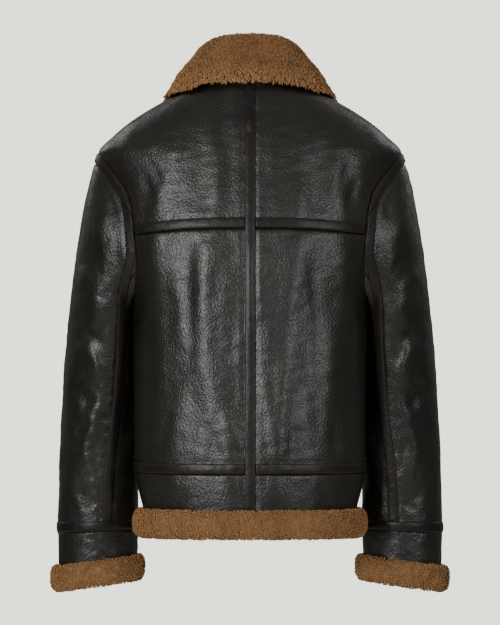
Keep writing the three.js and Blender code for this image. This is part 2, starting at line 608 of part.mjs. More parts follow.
function yokeStrap(side, yoke) {
  const reach = 0.95; // share of the last step, so that the strap ends beside the armhole
  const places = strapRows(yoke).map((row) => {
    const last = row.length - 1;
    const end = { ...between(row[last - 1], row[last], reach), normal: faceNormal(row[last - 1]) };
    return [...fromCentreStrap(row).slice(0, -1), end];
  });
  return strap(nameOf("strap_yoke", side), places);
}

function hemStrap(side, back, front) {
  const [backRows, frontRows] = [strapRows(back), strapRows(front)];
  const places = backRows.map((row, i) => [
    ...fromCentreStrap(row),
    ...frontRows[i].slice(0, -1).reverse(),
  ]);
  return strap(nameOf("strap_hem", side), places);
}

// Sleeves: rows run down the sleeve and columns round it. The first two steps follow the armhole strap.

const strapStations = armholePhis.map((phi) => {
  const tick = 0.01;
  let station = 0;
  while (sleeve(phi, station).distanceTo(sleeve(phi, 0)) < STRAP.width) station += tick;
  return station;
});
const SETTLED = 2.2; // station from which the rows are level

function stationAt(row, column) {
  const strapEnd = strapStations[column];
  if (row <= 2) return (strapEnd * row) / 2;
  if (row <= 5) return mix(strapEnd, SETTLED, (row - 2) / 3);
  return mix(SETTLED, WRIST_STATION, (row - 5) / STEPS.sleeve);
}
const SLEEVE_ROWS = 5 + STEPS.sleeve;

// The angle of a column, which wanders with the seams
function columnPhi(column, station) {
  const [phi, seam] = [armholePhis[column], seamPhi(station)];
  const start = armholePhis[SLEEVE_SEAMS.back];
  if (phi > Math.PI) return phi;
  if (phi < start) return (phi * seam) / start;
  return Math.PI - ((Math.PI - phi) * (Math.PI - seam)) / (Math.PI - start);
}

function sleeveGrid(side, from, to) {
  const columns = steps(from, to, to - from).map((column) => Math.round(column));
  return Array.from({ length: SLEEVE_ROWS + 1 }, (_, row) =>
    columns.map((column, j) => {
      const place = (column + ARMHOLE_STEPS) % ARMHOLE_STEPS;
      const last = row === SLEEVE_ROWS ? -EASE / STATION_LENGTH : 0;
      const station = stationAt(row, place) + last;
      const ease = (j === 0 ? EASE : 0) - (j === columns.length - 1 ? EASE : 0);
      const phi = columnPhi(place, station) + ease / sleeveAt(station).halfDepth;
      return onSide(side, sleeveVertex(phi, station));
    }),
  );
}

function wristbandGrid(side) {
  return steps(WRIST_STATION + EASE / STATION_LENGTH, CUFF_STATION, 2).map((station) =>
    armholePhis.slice(0, -1).map((_, column) =>
      onSide(side, sleeveVertex(columnPhi(column, station), station)),
    ),
  );
}

// A place on a row of the sleeve, at an armhole step that may be a fraction
function placeAt(row, step) {
  const column = ARMHOLE_STEPS - SLEEVE_SEAMS.front + step;
  const whole = Math.min(Math.floor(column), row.length - 2);
  return between(row[whole], row[whole + 1], column - whole);
}

// Places across the armhole's strap, from the seam outwards, each at its own armhole step
function acrossArmhole(outer, armholeSteps) {
  const start = 0.06; // share of the first row's distance, so that the strap starts beside the body
  const [edge, middle, far] = outer.slice(0, 3).map((row, i) => placeAt(row, armholeSteps[i]));
  const next = placeAt(outer[1], armholeSteps[0]);
  return [
    { ...between(edge, next, start), normal: faceNormal(next) },
    { ...middle, normal: faceNormal(middle) },
    { ...far, normal: faceNormal(far) },
  ];
}
const slanted = (gap) => [STRAP_JOINT + 1 + gap, STRAP_JOINT + 0.5 + gap, STRAP_JOINT + gap];

function armholeStrap(side, outer) {
  const first = SLEEVE_SEAMS.front - ARMHOLE_STEPS;
  const level = steps(first, STRAP_JOINT - 1, STRAP_JOINT - 1 - first).map((step) => [step, step, step]);
  const places = [...level, slanted(0)].map((armholeSteps) => acrossArmhole(outer, armholeSteps));
  return strap(nameOf("strap_armhole", side), places);
}

// The sleeve's strap runs along the armhole behind, then turns onto the sleeve's back seam
function sleeveStrap(side, outer, under) {
  const [gap, lift] = [0.04, 1.2]; // beside the armhole's strap, in steps, and over the crossing seams
  const last = outer.length - 1;
  const level = steps(STRAP_JOINT + 2, SLEEVE_SEAMS.back - 1, 2).map((step) => [step, step, step]);
  const along = [
    slanted(gap),
    [STRAP_JOINT + 1.4, STRAP_JOINT + 1.2, STRAP_JOINT + 1],
    ...level,
  ].map((armholeSteps) => acrossArmhole(outer, armholeSteps));
  const turning = [
    between(outer[0].at(-1), outer[1].at(-1), 0.6),
    between(outer[1].at(-1), outer[2].at(-1), 0.5),
    between(outer[2].at(-2), outer[3].at(-2), 0.5),
  ];
  const rows = outer.map((row, i) => {
    const [seamOuter, seamUnder] = [row.at(-1), under[i][0]];
    const halfWidthFrom = (a, b) => between(a, b, STRAP.width / 2 / gapBetween(a, b));
    const middle = between(seamOuter, seamUnder, 0.5);
    return [halfWidthFrom(seamUnder, under[i][1]), middle, halfWidthFrom(seamOuter, row.at(-2))];
  });
  const foot = rowAtDistance(rows[last], rows[last - 1], STRAP.width + SEAM_GAP);
  const places = [...along, turning, ...rows.slice(3, -1), foot];
  return strap(nameOf("strap_sleeve", side), places, false, lift);
}

function wristStrap(side, outer, under) {
  const ringRow = (i) => [...outer.at(i), ...under.at(i).slice(1, -1)];
  return strap(nameOf("strap_wrist", side), strapRows([ringRow(-1), ringRow(-2)]), true);
}

// Wool trims: an outline set on each vertex of the leather's edge

function trimProfile(outline, vertex) {
  const outward = faceNormal(vertex).setZ(0).normalize();
  return outline.map(({ out, below }) =>
    vertex.outer.clone().addScaledVector(outward, out).add(vector(0, 0, -below)),
  );
}

function hemTrim(side) {
  const join = side * HEM_TRIM_JOIN + EASE;
  const start = join / torsoAt(BAND_END).back;
  const profiles = steps(start, zipTurn(BAND_END), STEPS.hemTrim).map((turn) =>
    trimProfile(HEM_TRIM, torsoVertex(side * turn, BAND_END)),
  );
  return bar(nameOf("hem_trim", side), profiles, WOOL);
}

function cuffTrim(side, wristband) {
  const profiles = wristband.at(-1).map((vertex) => trimProfile(CUFF_TRIM, vertex));
  return bar(nameOf("cuff_trim", side), profiles, WOOL, false);
}

// The collar, wool outside and folded over. Its leather side is a path for each angle round the neck, from
// the neck seam (0) over the fold to the edge (1), and the wool side stands off it.

function collarPath(degrees) {
  const half = Math.abs(degrees);
  const side = degrees < 0 ? -1 : 1;
  const at = collarAt(half);
  const [neckTurn, foldTurn, edgeTurn] = [half, at.foldTurn, at.edgeTurn].map((d) => side * radians(d));
  const polar = (out, drop) => {
    const radius = at.foldRadius + out;
    return vector(radius * Math.sin(foldTurn), radius * Math.cos(foldTurn), -drop);
  };
  const r = COLLAR.foldRadius;
  const neck = torso(neckTurn, necklineDrop(half), false);
  const upward = neck.clone().sub(torso(neckTurn, necklineDrop(half) + COLLAR.rise, false)).normalize();
  const start = neck.clone().addScaledVector(upward, COLLAR.seamGap);
  const rise = start.clone().addScaledVector(upward, COLLAR.rise);
  const foldIn = polar(-r, at.foldDrop + r);
  const foldTop = polar(0, at.foldDrop);
  const foldOut = polar(r, at.foldDrop + r);
  const edgeNormal = torsoNormal(edgeTurn, at.edgeDrop);
  const edge = torso(edgeTurn, at.edgeDrop).addScaledVector(edgeNormal, at.standOff);
  const stand = rise.clone().lerp(foldIn, 0.5);
  const fall = foldOut.clone().lerp(edge, 0.5);
  fall.addScaledVector(fall.clone().setZ(0).normalize(), COLLAR.fallBulge);
  return new THREE.CatmullRomCurve3([start, rise, stand, foldIn, foldTop, foldOut, fall, edge]);
}

const COLLAR_FADES = { stand: [0, 0.3], edge: [0.85, 1] }; // ways over which the wool's thickness changes
const collarWays = [0, 0.08, 0.2, 0.33, 0.43, 0.5, 0.57, 0.68, 0.8, 0.91, 1];
const yokeNeckTurns = backTurns(necklineDrop(SHOULDER_TURN), shoulderEnd(1, true).turn).map((turn) =>
  THREE.MathUtils.radToDeg(turn),
);

function collar() {
  const half = [...yokeNeckTurns.slice(1), ...[...frontNeckTurns].reverse()];
  const stations = [...[...half].reverse().map((degrees) => -degrees), 0, ...half];
  const surface = (degrees, way) => collarPath(degrees).getPoint(way);
  const grid = stations.map((degrees) => {
    const path = collarPath(degrees);
    return collarWays.map((way) => {
      const inner = path.getPoint(way);
      if (way === 0) {
        const normal = torsoNormal(radians(degrees), necklineDrop(Math.abs(degrees)));
        return { inner, outer: inner.clone().addScaledVector(normal, -SKIN) };
      }
      const [inside, within] = [clamp(degrees, -172, 172), clamp(way, 0.02, 0.98)];
      const normal = normalOf(surface, inside, within, 2.5, 0.015);
      const full = mix(SKIN, COLLAR.thickness, smooth(...COLLAR_FADES.stand, way));
      const thickness = mix(full, COLLAR.edgeThickness, smooth(...COLLAR_FADES.edge, way));
      return { inner, outer: inner.clone().addScaledVector(normal, thickness) };
    });
  });
  return wall("collar", grid, WOOL);
}

// Zip: two halves of tape and teeth in the slot between the fronts

function zipHalf(side) {
  const drops = [...steps(ZIP.top, YOKE_DROP, 7), ...steps(YOKE_DROP, BAND_END, 7).slice(1)];
  const grid = drops.map((drop) =>
    [EASE, ZIP.slot - SEAM_GAP].map((x) => {
      const turn = Math.PI - x / torsoAt(drop).front;
      const normal = torsoNormal(turn, drop);
      const face = torso(turn, drop).setX(x);
      return onSide(side, {
        outer: face.clone().addScaledVector(normal, -ZIP.depth),
        inner: face.clone().addScaledVector(normal, -ZIP.depth - ZIP.tape),
      });
    }),
  );
  return wall(nameOf("zip", side), grid, ZIP_CLOTH);
}

// An outline of (up, out) points swept across the zip
function acrossZip(outline, width, hole) {
  const shape = new THREE.Shape(outline.map(([up, out]) => new THREE.Vector2(up, out)));
  if (hole) shape.holes.push(new THREE.Path(hole.map(([up, out]) => new THREE.Vector2(up, out))));
  const geometry = new THREE.ExtrudeGeometry(shape, { depth: width, bevelEnabled: false });
  geometry.translate(0, 0, -width / 2);
  const axes = [vector(0, 0, 1), vector(0, -1, 0), vector(1, 0, 0)];
  return geometry.applyMatrix4(new THREE.Matrix4().makeBasis(...axes));
}

const rectangle = (low, high, near, far) => [[low, near], [high, near], [high, far], [low, far]];

function toManifold(wasm, geometry) {
  const bare = geometry.clone();
  bare.deleteAttribute("normal");
  bare.deleteAttribute("uv");
  const merged = mergeVertices(bare, 1e-4);
  return new wasm.Manifold(
    new wasm.Mesh({
      numProp: 3,
      vertProperties: merged.attributes.position.array,
      triVerts: new Uint32Array(merged.index.array),
    }),
  );
}

function fromManifold(manifold) {
  const { vertProperties, triVerts } = manifold.getMesh();
  const geometry = new THREE.BufferGeometry();
  geometry.setAttribute("position", new THREE.BufferAttribute(new Float32Array(vertProperties), 3));
  geometry.setIndex([...triVerts]);
  geometry.computeVertexNormals();
  return geometry;
}

// The slider: two plates joined by a post above the zip's top end, and a bridge for the pull tab
function slider(wasm) {
  const half = SLIDER.length / 2;
  const front = SLIDER.clearance;
  const back = -ZIP.tape - SLIDER.clearance;
  const body = [
    [-half, front],
    [half - SLIDER.post, front],
    [half - SLIDER.post, back],
    [-half, back],
    [-half, back - SLIDER.plate],
    [half, back - SLIDER.plate],
    [half, front + SLIDER.plate],
    [-half, front + SLIDER.plate],
  ];
  const foot = front + SLIDER.plate - BRIDGE.sunk;
  const top = front + SLIDER.plate + BRIDGE.gap + BRIDGE.wall;
  const halfBridge = BRIDGE.length / 2;
  const arch = rectangle(-halfBridge, halfBridge, foot, top);
  const inside = rectangle(
    -halfBridge + BRIDGE.wall,
    halfBridge - BRIDGE.wall,
    foot + BRIDGE.sunk / 2,
    top - BRIDGE.wall,
  );
  const plates = toManifold(wasm, acrossZip(body, SLIDER.width));
  const bridge = toManifold(wasm, acrossZip(arch, BRIDGE.width, inside));
  const mesh = new THREE.Mesh(fromManifold(plates.add(bridge)), METAL);
  mesh.name = "zip_slider";
  return mesh;
}

// The pull tab hangs by its top rod under the slider's bridge
function pullTab() {
  const [across, low, rodHalf] = [TAB.width / 2, -TAB.length, TAB.rod / 2];
  const outline = new THREE.Shape();
  outline.moveTo(-across, rodHalf);
  outline.lineTo(across, rodHalf);
  outline.lineTo(across, low + across);
  outline.absarc(0, low + across, across, 0, -Math.PI, true);
  outline.lineTo(-across, rodHalf);
  const opening = across - TAB.sideBar;
  const windowFloor = -rodHalf - TAB.window;
  const hole = new THREE.Path();
  hole.moveTo(-opening, -rodHalf);
  hole.lineTo(-opening, windowFloor);
  hole.lineTo(opening, windowFloor);
  hole.lineTo(opening, -rodHalf);
  outline.holes.push(hole);
  const settings = { depth: TAB.thickness, bevelEnabled: false, curveSegments: 10 };
  const geometry = new THREE.ExtrudeGeometry(outline, settings);
  geometry.translate(0, 0, -TAB.thickness / 2);
  geometry.rotateX(Math.PI / 2);
  const mesh = new THREE.Mesh(geometry, METAL);
  mesh.name = "zip_pull";
  return mesh;
}

// Slider and tab sit on the zip's face, which leans back towards the neck
function zipHardware(wasm) {
  const half = SLIDER.length / 2;
  const faceAt = (drop) =>
    torso(Math.PI, drop, false).addScaledVector(torsoNormal(Math.PI, drop), -ZIP.depth);
  const [above, below] = [faceAt(SLIDER.drop - half), faceAt(SLIDER.drop + half)];
  const group = new THREE.Group();
  group.position.copy(above).lerp(below, 0.5);
  group.rotation.x = -Math.atan2(above.y - below.y, above.z - below.z);
  const tab = pullTab();
  tab.position.y = -(SLIDER.clearance + SLIDER.plate + BRIDGE.gap / 2);
  group.add(slider(wasm), tab);
  return group;
}

// Assembly
const wasm = await Module();
wasm.setup();

const coat = new THREE.Group();
const panels = [1, -1].map((side) => ({
  side,
  back: backGrid(side),
  yoke: yokeGrid(side),
  front: frontGrid(side),
  band: bandGrid(side, true),
  bandFront: bandGrid(side, false),
  sleeveOuter: sleeveGrid(side, SLEEVE_SEAMS.front - ARMHOLE_STEPS, SLEEVE_SEAMS.back),
  sleeveUnder: sleeveGrid(side, SLEEVE_SEAMS.back, SLEEVE_SEAMS.front),
  wristband: wristbandGrid(side),
}));

panels.forEach((grids) => {
  const { side } = grids;
  coat.add(
    wall(nameOf("back", side), grids.back, LEATHER),
    wall(nameOf("yoke", side), grids.yoke, LEATHER),
    wall(nameOf("front", side), grids.front, LEATHER),
    wall(nameOf("hem_band_back", side), grids.band, LEATHER),
    wall(nameOf("hem_band_front", side), grids.bandFront, LEATHER),
    wall(nameOf("sleeve_outer", side), grids.sleeveOuter, LEATHER),
    wall(nameOf("sleeve_under", side), grids.sleeveUnder, LEATHER),
    wall(nameOf("wristband", side), grids.wristband, LEATHER, true),
    yokeStrap(side, grids.yoke),
    hemStrap(side, grids.back, grids.front),
    armholeStrap(side, grids.sleeveOuter),
    sleeveStrap(side, grids.sleeveOuter, grids.sleeveUnder),
    wristStrap(side, grids.sleeveOuter, grids.sleeveUnder),
    hemTrim(side),
    cuffTrim(side, grids.wristband),
    zipHalf(side),
  );
});
coat.add(centreBackStrap(panels[0], panels[1]), collar(), zipHardware(wasm));

export default coat;
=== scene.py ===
"""The looks of a shearling jacket, seen from behind as it is worn.

Tables and lengths are in millimetres in the part's frame and become metres when a mesh is made.
+Z is up, the wearer faces -Y and +X is the wearer's left. "drop" is the distance below the origin, which
is the middle of the neck opening at the height of the back neck seam.
"""

import math

import bpy
import numpy as np
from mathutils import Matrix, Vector
from mathutils.kdtree import KDTree


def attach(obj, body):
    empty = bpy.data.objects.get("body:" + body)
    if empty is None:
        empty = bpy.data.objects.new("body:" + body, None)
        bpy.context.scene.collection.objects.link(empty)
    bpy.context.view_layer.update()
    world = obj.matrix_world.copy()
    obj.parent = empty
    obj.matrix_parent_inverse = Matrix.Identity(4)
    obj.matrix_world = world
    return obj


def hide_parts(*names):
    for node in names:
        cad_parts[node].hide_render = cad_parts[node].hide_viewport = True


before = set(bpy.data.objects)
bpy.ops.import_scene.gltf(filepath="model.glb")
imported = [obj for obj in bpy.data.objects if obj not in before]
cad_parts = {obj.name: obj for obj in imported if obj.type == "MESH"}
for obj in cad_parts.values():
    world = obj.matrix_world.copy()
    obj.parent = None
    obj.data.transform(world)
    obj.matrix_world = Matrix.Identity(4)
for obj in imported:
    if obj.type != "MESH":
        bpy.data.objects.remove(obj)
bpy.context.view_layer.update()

MM = 0.001

# Driving dimensions, as in the frame's solids
SKIN = 6.0
EASE = 0.15  # half of the gap at a seam
SQUARENESS = 2.4
STRAP_WIDTH = 15.0
STRAP_LIFT = 0.5
STRAP_THICKNESS = 1.7
HEM_SEAM = 594.0
BAND_END = 651.0
YOKE_DROP = 231.0
SHOULDER_TURN = math.radians(62)
ARMHOLE = {
    "y": -2.0, "drop": 230.0, "half_depth": 82.0, "half_height": 112.0, "sag": 10.0, "fullness": 0.85,
}
ZIP = {"slot": 7.0, "tape": 1.2, "depth": 2.4, "top": 94.0, "neck": 80.0}
COLLAR = {"seam_gap": 0.6, "thickness": 9.0, "fold_radius": 4.0, "edge_thickness": 5.0}
HEM_TRIM_JOIN = 16.0
WRIST_STATION = 10.0
CUFF_STATION = 11.0
SEAM_BACK = math.radians(120)
SEAM_FRONT = math.radians(240)
# Rough radii and lengths that turn a gap in millimetres into an angle or a part of a station
SIDE_RADIUS = 165
SLEEVE_RADIUS = 65
STATION_LENGTH = 45
WRISTBAND_LENGTH = 60

# Horizontal sections of the torso: drop, half width, depth behind and depth in front
TORSO = np.array([
    (0, 66, 71, 60),
    (14, 78, 75, 66),
    (28, 104, 81, 74),
    (42, 130.5, 86, 82),
    (58, 158, 91, 90),
    (75, 183, 97, 98),
    (93, 204, 102, 107),
    (118, 226, 108, 117),
    (144, 220, 113, 126),
    (182, 208, 120, 135),
    (230, 205, 126, 141),
    (290, 190, 130, 144),
    (342, 175, 131, 143),
    (400, 174.5, 130, 140),
    (520, 173.5, 127, 134),
    (594, 172, 124, 130),
    (610, 169, 123, 128),
    (651, 158.5, 119, 124),
])

# Neck seam: angle round the neck in degrees from centre back, and drop
NECKLINE = np.array([(0, 4), (30, 6), (62, 11), (90, 16), (120, 23), (150, 46), (180, 80)])

# Sleeve sections: station, outer x, outer drop, inner x, inner drop, y, half depth, back seam's angle
SLEEVE = np.array([
    (0, 226, 118, 172, 342, -2, 82, 120),
    (1, 240, 160, 175, 356, -11, 80, 124.5),
    (2, 251, 215, 176.5, 378, -20, 78, 128.5),
    (3, 261, 275, 176.5, 405, -29, 76, 129.5),
    (4, 269, 335, 175.5, 435, -38, 73, 128.5),
    (5, 275, 395, 174, 470, -47, 69, 125),
    (6, 280, 457, 171.5, 509, -56, 65, 120),
    (7, 284, 519, 169.5, 551, -63, 61, 113),
    (8, 287, 581, 168.5, 597, -69, 57, 107),
    (9, 288.5, 638, 168, 642, -74, 53, 104.5),
    (10, 289, 687, 168.5, 681, -77, 50, 103.5),
    (11, 288.5, 739, 170, 722, -80, 47, 103.5),
])

# Folds: x and drop of both ends, width and depth (ridges above 0, troughs below)
BACK_FOLDS = [
    (55, 205, 74, 420, 21, 6),
    (76, 395, 28, 575, 22, 5),
    (21, 225, 17, 520, 12, -4.5),
    (97, 225, 106, 500, 19, -4.5),
    (138, 230, 132, 470, 20, 3.5),
    (100, 85, 139, 215, 15, 3.5),
    (74, 95, 90, 220, 15, -3),
    (-43, 225, -12, 395, 14, -4.5),
    (-76, 150, -54, 395, 17, 6),
    (-57, 370, -36, 640, 18, 5.5),
    (-96, 100, -103, 260, 16, -4.5),
    (-104, 250, -84, 520, 19, -4.5),
    (-118, 120, -150, 235, 14, 3.5),
    (-148, 240, -130, 460, 18, 3.5),
    (46, 585, 42, 665, 20, 3),
]
FRONT_FOLDS = [
    (60, 190, 78, 420, 20, 5),
    (40, 300, 36, 560, 14, -3.5),
    (104, 170, 112, 470, 19, -4),
    (140, 260, 128, 500, 19, 3.5),
    (82, 430, 60, 610, 18, 4),
    (150, 120, 128, 230, 15, -3.5),
    (-56, 180, -70, 380, 18, 4.5),
    (-96, 200, -100, 450, 19, -4.5),
    (-36, 340, -42, 575, 14, -3),
    (-70, 400, -62, 620, 19, 4.5),
    (-138, 250, -126, 470, 18, 3.5),
    (-148, 115, -130, 225, 15, -3),
]
SLEEVE_BACK_FOLDS = [
    (244, 395, 206, 485, 14, 6),
    (214, 480, 246, 560, 15, 6),
    (248, 550, 221, 625, 13, 5.5),
    (262, 455, 236, 500, 13, -4),
    (232, 540, 222, 600, 11, -5),
    (172, 525, 205, 610, 11, 5.5),
    (180, 470, 196, 540, 12, -4.5),
    (250, 285, 222, 375, 17, 4.5),
    (256, 350, 214, 430, 13, -4),
    (206, 165, 222, 250, 13, 4),
    (182, 215, 196, 290, 10, -3.5),
    (262, 620, 206, 655, 11, -3),
]
SLEEVE_FRONT_FOLDS = [
    (252, 430, 192, 478, 12, -5.5),
    (262, 468, 200, 512, 12, 5),
    (250, 512, 190, 538, 11, -5),
    (240, 560, 205, 640, 14, 4),
    (200, 190, 226, 300, 14, -4),
    (238, 220, 246, 380, 17, 4),
]
# Share of the folds that the leather's face keeps, softer than the solids
FINE_SHARE = 0.5
# Finer creases, only in the leather's surface
BACK_CREASES = [
    (150, 128, 128, 168, 5, -1.6),
    (160, 150, 139, 196, 5, -1.4),
    (-148, 132, -130, 172, 5, -1.6),
    (-160, 152, -143, 205, 5, -1.4),
    (40, 500, 12, 560, 8, 1.6),
    (66, 520, 40, 575, 7, -1.4),
    (110, 300, 96, 420, 8, 1.2),
    (-84, 300, -96, 470, 8, 1.2),
    (-20, 440, -34, 560, 7, 1.3),
    (-66, 520, -58, 585, 7, -1.3),
    (120, 500, 138, 575, 8, -1.2),
    (-118, 480, -128, 570, 8, -1.2),
    (-52, 380, -34, 645, 11, 1.8),
    (30, 560, 20, 590, 9, 1.4),
    (-43, 225, -12, 395, 14, 2.2),
    (21, 225, 17, 520, 12, 1.2),
]
SLEEVE_CREASES = [
    (195, 158, 184, 192, 5, -2.2),
    (204, 166, 191, 205, 4.5, 1.8),
    (212, 172, 199, 216, 5, -1.8),
    (236, 380, 262, 398, 6, -1.8),
    (214, 452, 236, 470, 5.5, -2),
    (238, 520, 262, 540, 6, -2),
    (206, 505, 226, 520, 5, -1.6),
    (176, 500, 192, 516, 5, 1.8),
    (180, 600, 198, 628, 6, 1.8),
    (228, 640, 250, 652, 5, -1.4),
    (200, 320, 224, 338, 7, -1.6),
    (236, 300, 262, 322, 7, 1.4),
]

# Collar: angle round the neck, fold's angle, radius and drop, edge's angle and drop, and how far the edge
# stands off
COLLAR_LINES = np.array([
    (0, 0, 72, -47, 0, 18, 8),
    (30, 30, 72, -45, 31, 20, 7),
    (62, 61, 71, -37, 62, 27, 5),
    (90, 88, 69, -27, 88, 38, 2),
    (120, 117, 73, -10, 113, 62, 3),
    (150, 147, 83, 14, 138, 101, 4),
    (180, 173, 102, 46, 160, 150, 4),
])

# Outlines of the wool trims: how far out from the leather's face and how far below its edge
HEM_TRIM = np.array([
    (-8, 0.4), (0.8, 0.4), (3.5, -3.5), (9.5, -2.5), (14.5, 5), (16.5, 15),
    (16, 27), (12, 35.5), (3, 40), (-6, 38), (-10.5, 30), (-10.5, 12),
])
CUFF_TRIM = np.array([
    (-7, 0.4), (0.8, 0.4), (3, -3.5), (8, -2), (11.5, 5), (12.5, 16),
    (11, 28), (5, 36), (-3, 37), (-8.5, 29), (-9, 10),
])

# Small mathematics on arrays


def mix(a, b, t):
    return a + (b - a) * t


def smooth(low, high, value):
    t = np.clip((value - low) / (high - low), 0, 1)
    return t * t * (3 - 2 * t)


def hump(value, middle, width, power=2):
    """1 at the middle and falling to 0 on both sides; a higher power is flatter on top."""
    return np.exp(-(((value - middle) / width) ** power))


def side_word(side):
    return "left" if side > 0 else "right"


def curve(table, column):
    """The smooth curve through one column of a table, which never overshoots its rows."""
    at, values = table[:, 0].astype(float), table[:, column].astype(float)
    secants = np.diff(values) / np.diff(at)
    before, after = secants[:-1], secants[1:]
    same = before * after > 0
    inner = np.where(same, 2 * before * after / np.where(same, before + after, 1), 0)
    slopes = np.concatenate([secants[:1], inner, secants[-1:]])

    def value(place):
        x = np.clip(np.asarray(place, float), at[0], at[-1])
        i = np.clip(np.searchsorted(at, x, side="left") - 1, 0, len(at) - 2)
        span = at[i + 1] - at[i]
        t = (x - at[i]) / span
        bend = slopes[i] * t * (1 - t) ** 2 - slopes[i + 1] * t * t * (1 - t)
        return mix(values[i], values[i + 1], t * t * (3 - 2 * t)) + span * bend

    return value


half_width, back_depth, front_depth = (curve(TORSO, k) for k in (1, 2, 3))
outer_x, outer_drop, inner_x, inner_drop, sleeve_y, half_depth, seam_turn = (
    curve(SLEEVE, k) for k in range(1, 8)
)
neck_drop_degrees = curve(NECKLINE, 1)
collar_columns = [curve(COLLAR_LINES, k) for k in range(1, 7)]


def neck_drop(turn):
    return neck_drop_degrees(np.degrees(np.abs(turn)))


def points_of(x, y, z):
    return np.stack(np.broadcast_arrays(x, y, z), axis=-1).astype(float)


def unit(vectors):
    return vectors / np.maximum(np.linalg.norm(vectors, axis=-1, keepdims=True), 1e-12)


def fold_height(table, x, drop):
    total = np.zeros(np.broadcast(x, drop).shape)
    for x0, drop0, x1, drop1, width, depth in table:
        dx, dd = x1 - x0, drop1 - drop0
        along = np.clip(((x - x0) * dx + (drop - drop0) * dd) / (dx * dx + dd * dd), 0, 1)
        away = np.hypot(x - x0 - along * dx, drop - drop0 - along * dd) / width
        total = total + depth * (1 - (2 * along - 1) ** 4) * np.exp(-away * away)
    return total


def waves(points, length, seed, count=14):
    """Soft random waves of about the given length, the same for the same seed, from -1 to 1 or so."""
    rng = np.random.default_rng(seed)
    directions = unit(rng.normal(size=(count, 3)))
    stretch = rng.uniform(0.6, 1.5, count)
    phases = rng.uniform(0, 2 * np.pi, count)
    total = np.zeros(points.shape[:-1])
    for direction, factor, phase in zip(directions, stretch, phases):
        total += np.sin(points @ direction * (2 * np.pi / length * factor) + phase)
    return total / math.sqrt(count / 2) / 2


def normals_of(surface, a, b, step_a, step_b):
    along_a = surface(a + step_a, b) - surface(a - step_a, b)
    along_b = surface(a, b + step_b) - surface(a, b - step_b)
    return unit(np.cross(along_a, along_b))


def catmull(points, ways):
    """Centripetal curve through the points of each station, at ways from 0 to 1."""
    count = points.shape[1]
    first = 2 * points[:, :1] - points[:, 1:2]
    last = 2 * points[:, -1:] - points[:, -2:-1]
    padded = np.concatenate([first, points, last], axis=1)
    gaps = np.linalg.norm(np.diff(padded, axis=1), axis=-1) ** 0.5
    place = np.clip(np.asarray(ways) * (count - 1), 0, count - 1 - 1e-9)
    i = place.astype(int)
    t = (place - i)[None, :, None]
    p0, p1, p2, p3 = (padded[:, i + k] for k in range(4))
    d0, d1, d2 = (gaps[:, i + k][..., None] for k in range(3))
    d0, d2 = np.where(d0 < 1e-4, d1, d0), np.where(d2 < 1e-4, d1, d2)
    m1 = ((p1 - p0) / d0 - (p2 - p0) / (d0 + d1) + (p2 - p1) / d1) * d1
    m2 = ((p2 - p1) / d1 - (p3 - p1) / (d1 + d2) + (p3 - p2) / d2) * d1
    c2, c3 = -3 * p1 + 3 * p2 - 2 * m1 - m2, 2 * p1 - 2 * p2 + m1 + m2
    return p1 + m1 * t + c2 * t ** 2 + c3 * t ** 3


# The leather's outer face


def torso(turn, drop, folded=True, fine=False):
    across, ahead = np.sin(turn), np.cos(turn)
    depth = np.where(ahead > 0, back_depth(drop), front_depth(drop))
    section = np.abs(across / half_width(drop)) ** SQUARENESS + np.abs(ahead / depth) ** SQUARENESS
    radius = section ** (-1 / SQUARENESS)
    if folded:
        x, y = radius * across, radius * ahead
        ring = ((y - ARMHOLE["y"]) / ARMHOLE["half_depth"]) ** 2
        ring = ring + ((drop - ARMHOLE["drop"]) / ARMHOLE["half_height"]) ** 2
        strap_here = np.minimum(np.abs(drop - YOKE_DROP), np.abs(drop - HEM_SEAM))
        free = smooth(1.05, 1.5, ring) * mix(0.3, 1, smooth(6, 34, strap_here)) * smooth(30, 90, drop)
        behind, before = smooth(0.02, 0.4, ahead), smooth(0.02, 0.4, -ahead)
        folds = behind * fold_height(BACK_FOLDS, x, drop)
        folds = folds + before * fold_height(FRONT_FOLDS, x, drop) * smooth(9, 24, np.abs(x))
        folds = folds * (FINE_SHARE if fine else 1.0)
        radius = radius + folds * free
        if fine:
            radius = radius + smooth(1.0, 1.3, ring) * behind * fold_height(BACK_CREASES, x, drop)
    return points_of(radius * across, radius * ahead, -drop)


def torso_normal(turn, drop, folded=True, fine=False):
    return normals_of(lambda t, d: torso(t, d, folded, fine), turn, drop, 0.008, 0.8)


def armhole_place(phi):
    across = np.sin(phi)
    y = ARMHOLE["y"] + ARMHOLE["half_depth"] * np.sign(across) * np.abs(across) ** ARMHOLE["fullness"]
    drop = ARMHOLE["drop"] - ARMHOLE["half_height"] * np.cos(phi) + ARMHOLE["sag"] * np.sin(phi) ** 2
    depth = np.where(y > 0, back_depth(drop), front_depth(drop))
    x = half_width(drop) * (1 - np.abs(y / depth) ** SQUARENESS) ** (1 / SQUARENESS)
    return np.arctan2(x, y), drop


def armhole_point(phi):
    turn, drop = armhole_place(phi)
    return torso(turn, drop, False)


def sleeve_oval(phi, station):
    outward = (1 + np.cos(phi)) / 2
    return points_of(
        mix(inner_x(station), outer_x(station), outward),
        sleeve_y(station) + half_depth(station) * np.sin(phi),
        -mix(inner_drop(station), outer_drop(station), outward),
    )


def seam_phi(station):
    return np.radians(seam_turn(station))


